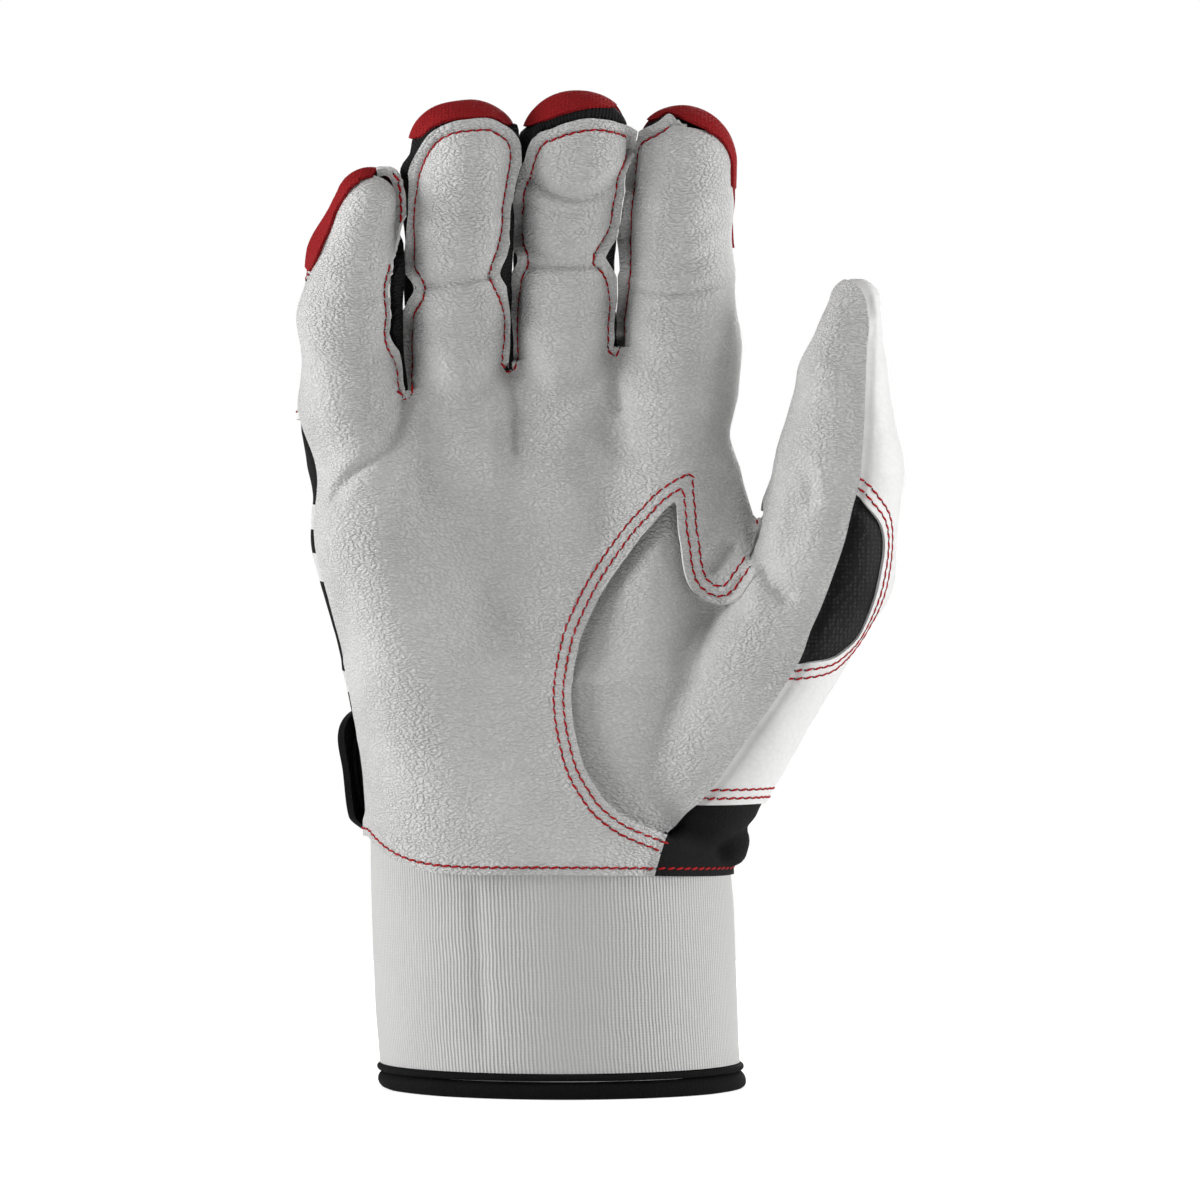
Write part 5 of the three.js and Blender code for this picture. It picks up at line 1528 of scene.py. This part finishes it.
over_wrist = cut(skin, lambda p: np.minimum(STRAP_HEIGHT - np.abs(p[:, 2] - strap_middle),
                                            STRAP_ROOT + 2 * ANCHOR_LENGTH - p[:, 0]))
loop_height = LAYER_GAP
hook_height = loop_height + PATCH_THICKNESS + LAYER_GAP
strap_height = hook_height + PATCH_THICKNESS + LAYER_GAP
badge_height = strap_height + STRAP_THICKNESS + LAYER_GAP
strap_bend = dict(far_body="strap", start=(STRAP_ROOT * MM, STRAP_FOLD_DEPTH * MM, strap_middle * MM),
                  end=((STRAP_ROOT - STRAP_BEND) * MM, STRAP_FOLD_DEPTH * MM, strap_middle * MM))


def pressed(p, normals):
    """The strap's lower edge lies down on the wrist, and its upper edge stands off at the free end."""
    off = smooth((p[:, 2] - strap_middle) / 12) * smooth((8 - p[:, 1]) / 12) * (p[:, 0] < 0)
    low_edge = smooth((STRAP_LOW + LOW_EDGE_WIDTH - p[:, 2]) / LOW_EDGE_WIDTH)
    return FREE_END_LIFT * off - LOW_EDGE_PRESS * low_edge


def strap_layer(name, shapes, thickness, finish, low, relief=flat):
    """One layer, whose underside stands off the wrist by low."""
    return panel(name, cut(over_wrist, *shapes), hand_skin, thickness, finish, relief, low=low + thickness)


def anchor_shape(p):
    past_root = p[:, 0] - STRAP_ROOT
    return np.minimum(np.minimum(past_root - ANCHOR_GAP, ANCHOR_LENGTH - past_root),
                      np.minimum(p[:, 1], STRAP_HEIGHT / 2 - np.abs(p[:, 2] - strap_middle)))


def sloping(p, normals):
    """The anchor slopes down to its sewn end."""
    return -ANCHOR_DROP * smooth((p[:, 0] - STRAP_ROOT - ANCHOR_LENGTH + ANCHOR_SLOPE) / ANCHOR_SLOPE)


def badge_shape(p):
    high = np.abs(p[:, 2] - strap_middle) - (STRAP_HEIGHT / 2 - PATCH_MARGIN - BADGE_CORNER)
    wide = np.abs(p[:, 0] + BADGE_LENGTH / 4) - (BADGE_LENGTH / 2 - BADGE_CORNER)
    return np.minimum(BADGE_CORNER - np.hypot(np.maximum(high, 0), np.maximum(wide, 0)), p[:, 1])


put(strap_layer("loop_tape", [strap_shape(STRAP_ROOT - STRAP_CORNER, PATCH_MARGIN)], PATCH_THICKNESS,
                strap_cloth, loop_height),
    "hand", "loop_patch", "strap_webbing")
put(strap_layer("hook_tape", [strap_shape(STRAP_ROOT, PATCH_MARGIN), lambda p: -CUFF_WIDTH / 8 - p[:, 0]],
                PATCH_THICKNESS, strap_cloth, hook_height),
    "strap", "hook_patch", "strap_webbing")
strap_outline = strap_shape(STRAP_ROOT, 0)
put(strap_layer("strap_fabric", [strap_outline], STRAP_THICKNESS, strap_cloth, strap_height, pressed),
    "hand", "closure_strap", "strap_webbing", **strap_bend)
put(strap_layer("strap_anchor_fabric", [anchor_shape], strap_height + STRAP_THICKNESS - LAYER_GAP,
                strap_cloth, LAYER_GAP, sloping),
    "hand", "strap_anchor", "strap_webbing")
put(strap_layer("badge_plate", [badge_shape], PATCH_THICKNESS, badge_rubber, badge_height),
    "strap", "strap_badge", "badge_rubber")

bends["strap"] = strap_bend
sew("strap", over_wrist, hand_skin, lambda p: strap_outline(p) - STRAP_ROW,
    lambda p, normals: pressed(p, normals) + strap_height + STRAP_THICKNESS,
    lambda p: p[:, 0] < STRAP_ROOT - 1)


# Stitches: red thread above, with the black thread of the other side showing between. The strap's are all
# black. They are a little coarser than real ones, so that each shows.
def stitch_tree():
    """Geometry nodes that sew along paths: red stitches on even places and black dots on odd ones."""
    tree = bpy.data.node_groups.new("lock_stitches", "GeometryNodeTree")
    sockets = [("Paths", "NodeSocketGeometry"), ("Stitch pitch", "NodeSocketFloat"),
               ("Stitch length", "NodeSocketFloat"), ("Thread thickness", "NodeSocketFloat"),
               ("Gap length", "NodeSocketFloat"), ("Gap thickness", "NodeSocketFloat"),
               ("Slant", "NodeSocketFloat"), ("Red thread", "NodeSocketMaterial"),
               ("Black thread", "NodeSocketMaterial")]
    for label, kind in sockets:
        tree.interface.new_socket(label, in_out="INPUT", socket_type=kind)
    tree.interface.new_socket("Stitches", in_out="OUTPUT", socket_type="NodeSocketGeometry")
    given = tree.nodes.new("NodeGroupInput").outputs
    curve = add_node(tree, "GeometryNodeMeshToCurve", {0: given["Paths"]})
    half = add_node(tree, "ShaderNodeMath", {0: given["Stitch pitch"], 1: 0.5}, operation="MULTIPLY")
    places = add_node(tree, "GeometryNodeResampleCurve", {
        "Curve": curve.outputs[0], "Length": half.outputs[0]}, mode="LENGTH")
    lie = add_node(tree, "GeometryNodeInputNamedAttribute", {"Name": "lie"}, data_type="FLOAT_VECTOR")
    tangent = add_node(tree, "GeometryNodeInputTangent")
    aim = add_node(tree, "FunctionNodeAxesToRotation", {0: lie.outputs[0], 1: tangent.outputs[0]},
                   primary_axis="Z", secondary_axis="X")
    slant = add_node(tree, "ShaderNodeCombineXYZ", {2: given["Slant"]})
    turned = add_node(tree, "FunctionNodeRotateRotation", {0: aim.outputs[0], 1: slant.outputs[0]},
                      rotation_space="LOCAL")
    index = add_node(tree, "GeometryNodeInputIndex")
    odd = add_node(tree, "ShaderNodeMath", {0: index.outputs[0], 1: 2.0}, operation="MODULO")
    even = add_node(tree, "ShaderNodeMath", {0: 1.0, 1: odd.outputs[0]}, operation="SUBTRACT")
    together = add_node(tree, "GeometryNodeJoinGeometry")
    rows = (("Stitch length", "Thread thickness", "Red thread", even, turned),
            ("Gap length", "Gap thickness", "Black thread", odd, aim))
    for length, thickness, thread, chosen, facing in rows:
        size = add_node(tree, "ShaderNodeCombineXYZ", {
            0: given[length], 1: given[thickness], 2: given[thickness]})
        ball = add_node(tree, "GeometryNodeMeshUVSphere", {"Segments": 6, "Rings": 4, "Radius": 0.5})
        strand = add_node(tree, "GeometryNodeTransform", {0: ball.outputs[0], "Scale": size.outputs[0]})
        sewn = add_node(tree, "GeometryNodeInstanceOnPoints", {
            "Points": places.outputs[0], "Selection": chosen.outputs[0], "Instance": strand.outputs[0],
            "Rotation": facing.outputs[0]})
        real = add_node(tree, "GeometryNodeRealizeInstances", {0: sewn.outputs[0]})
        dyed = add_node(tree, "GeometryNodeSetMaterial", {0: real.outputs[0], "Material": given[thread]})
        tree.links.new(dyed.outputs[0], together.inputs[0])
    smooth_shade = add_node(tree, "GeometryNodeSetShadeSmooth", {0: together.outputs[0]})
    out = tree.nodes.new("NodeGroupOutput")
    tree.links.new(smooth_shade.outputs[0], out.inputs[0])
    return tree


STITCHES = {"Stitch pitch": 2.2 * MM, "Stitch length": 2.45 * MM, "Thread thickness": 0.6 * MM,
            "Gap length": 0.5 * MM, "Gap thickness": 0.46 * MM, "Slant": 0.2, "Black thread": black_thread}


def sew_threads(name, runs, tree, thread):
    """One plain mesh of all the stitches that ride on a body."""
    edges, count = [], 0
    for path, _ in runs:
        edges += [(count + i, count + i + 1) for i in range(len(path) - 1)]
        count += len(path)
    points, normals = (np.concatenate(parts) for parts in zip(*runs))
    mesh = bpy.data.meshes.new(name)
    mesh.from_pydata((points * MM).tolist(), edges, [])
    note_vectors(mesh, "lie", normals)
    path = linked(name + "_path", mesh)
    modifier = path.modifiers.new("sewing", "NODES")
    modifier.node_group = tree
    given = dict(STITCHES, **{"Red thread": thread})
    for socket in tree.interface.items_tree:
        if socket.name in given:
            modifier[socket.identifier] = given[socket.name]
    graph = bpy.context.evaluated_depsgraph_get()
    sewn = bpy.data.meshes.new_from_object(path.evaluated_get(graph))
    path.modifiers.clear()
    bpy.data.objects.remove(path)
    sewn.name = name
    return linked(name, sewn)


lock_stitches = stitch_tree()
for body, runs in thread_runs.items():
    thread, slot = (black_thread, "strap_webbing") if body == "strap" else (red_thread, "red_fabric")
    piece = sew_threads(body + "_stitches", runs, lock_stitches, thread)
    if body == "hand":
        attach(piece, body)
    else:
        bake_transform(piece)


# Camera, light and floor
SOFTBOXES = [  # place and size in metres, power in watts
    ("left_softbox", (-1.0, -0.2, 0.14), 0.6, 10.9),
    ("right_softbox", (1.0, -0.1, 0.14), 0.6, 9.7),
    ("top_softbox", (-0.1, -0.45, 1.05), 0.5, 3.2),
    ("back_softbox", (0.2, 1.0, 0.45), 0.6, 7),
]
LAMPS_LOOK_AT = (0.01, 0, 0.12)
WORLD_LIGHT = 0.11
PAPER_LIGHT, PAPER_SEEN = 0.1, 0.78
FLOOR_CORNERS = [(-1, -0.8, 0), (1, -0.8, 0), (1, 0.35, 0), (-1, 0.35, 0)]

camera = linked("camera", bpy.data.cameras.new("camera"))
camera.data.lens = FOCAL_PIXELS / PICTURE * SENSOR
camera.data.sensor_width = SENSOR
camera.data.clip_end = 20
camera.location = CAMERA_PLACE * MM
camera.rotation_euler = (math.pi / 2, 0, 0)
bpy.context.scene.camera = camera
bpy.context.scene.view_settings.view_transform = "Standard"


def softbox(name, place, size, power):
    """A soft studio lamp that looks at the glove and isn't seen itself."""
    lamp = linked(name, bpy.data.lights.new(name, "AREA"))
    lamp.data.shape = "SQUARE"
    lamp.data.size = size
    lamp.data.energy = power
    lamp.location = place
    lamp.visible_camera = False
    away = np.array(place) - np.array(LAMPS_LOOK_AT)
    lamp.rotation_euler = (math.acos(away[2] / np.linalg.norm(away)), 0, math.atan2(away[0], -away[1]))


for name, place, size, power in SOFTBOXES:
    softbox(name, place, size, power)

# The world is white to the camera, and gives the glove only a little light.
world = bpy.data.worlds.new("studio")
world.use_nodes = True
bpy.context.scene.world = world
background = world.node_tree.nodes["Background"]
background.inputs["Color"].default_value = (1, 1, 1, 1)
world_ray = add_node(world.node_tree, "ShaderNodeLightPath")
world_level = add_node(world.node_tree, "ShaderNodeMapRange", {
    "Value": world_ray.outputs["Is Camera Ray"], "To Min": WORLD_LIGHT, "To Max": 1.0})
world.node_tree.links.new(world_level.outputs[0], background.inputs["Strength"])

floor_mesh = bpy.data.meshes.new("floor")
floor_mesh.from_pydata(FLOOR_CORNERS, [], [(0, 1, 2, 3)])
floor = linked("floor", floor_mesh)
# Matt white paper. Lit from below, it lightens what faces down. The camera sees it brighter, so that only the
# shadow stays grey.
paper, paper_tree, paper_shader = new_material("white_paper", 0.9)
paper_shader.inputs["Base Color"].default_value = linear("#e0e0e0")
paper_shader.inputs["Specular IOR Level"].default_value = 0
paper_shader.inputs["Emission Color"].default_value = (1, 1, 1, 1)
paper_ray = add_node(paper_tree, "ShaderNodeLightPath")
glow = add_node(paper_tree, "ShaderNodeMapRange", {
    "Value": paper_ray.outputs["Is Camera Ray"], "To Min": PAPER_LIGHT, "To Max": PAPER_SEEN})
paper_tree.links.new(glow.outputs[0], paper_shader.inputs["Emission Strength"])
floor_mesh.materials.append(paper)
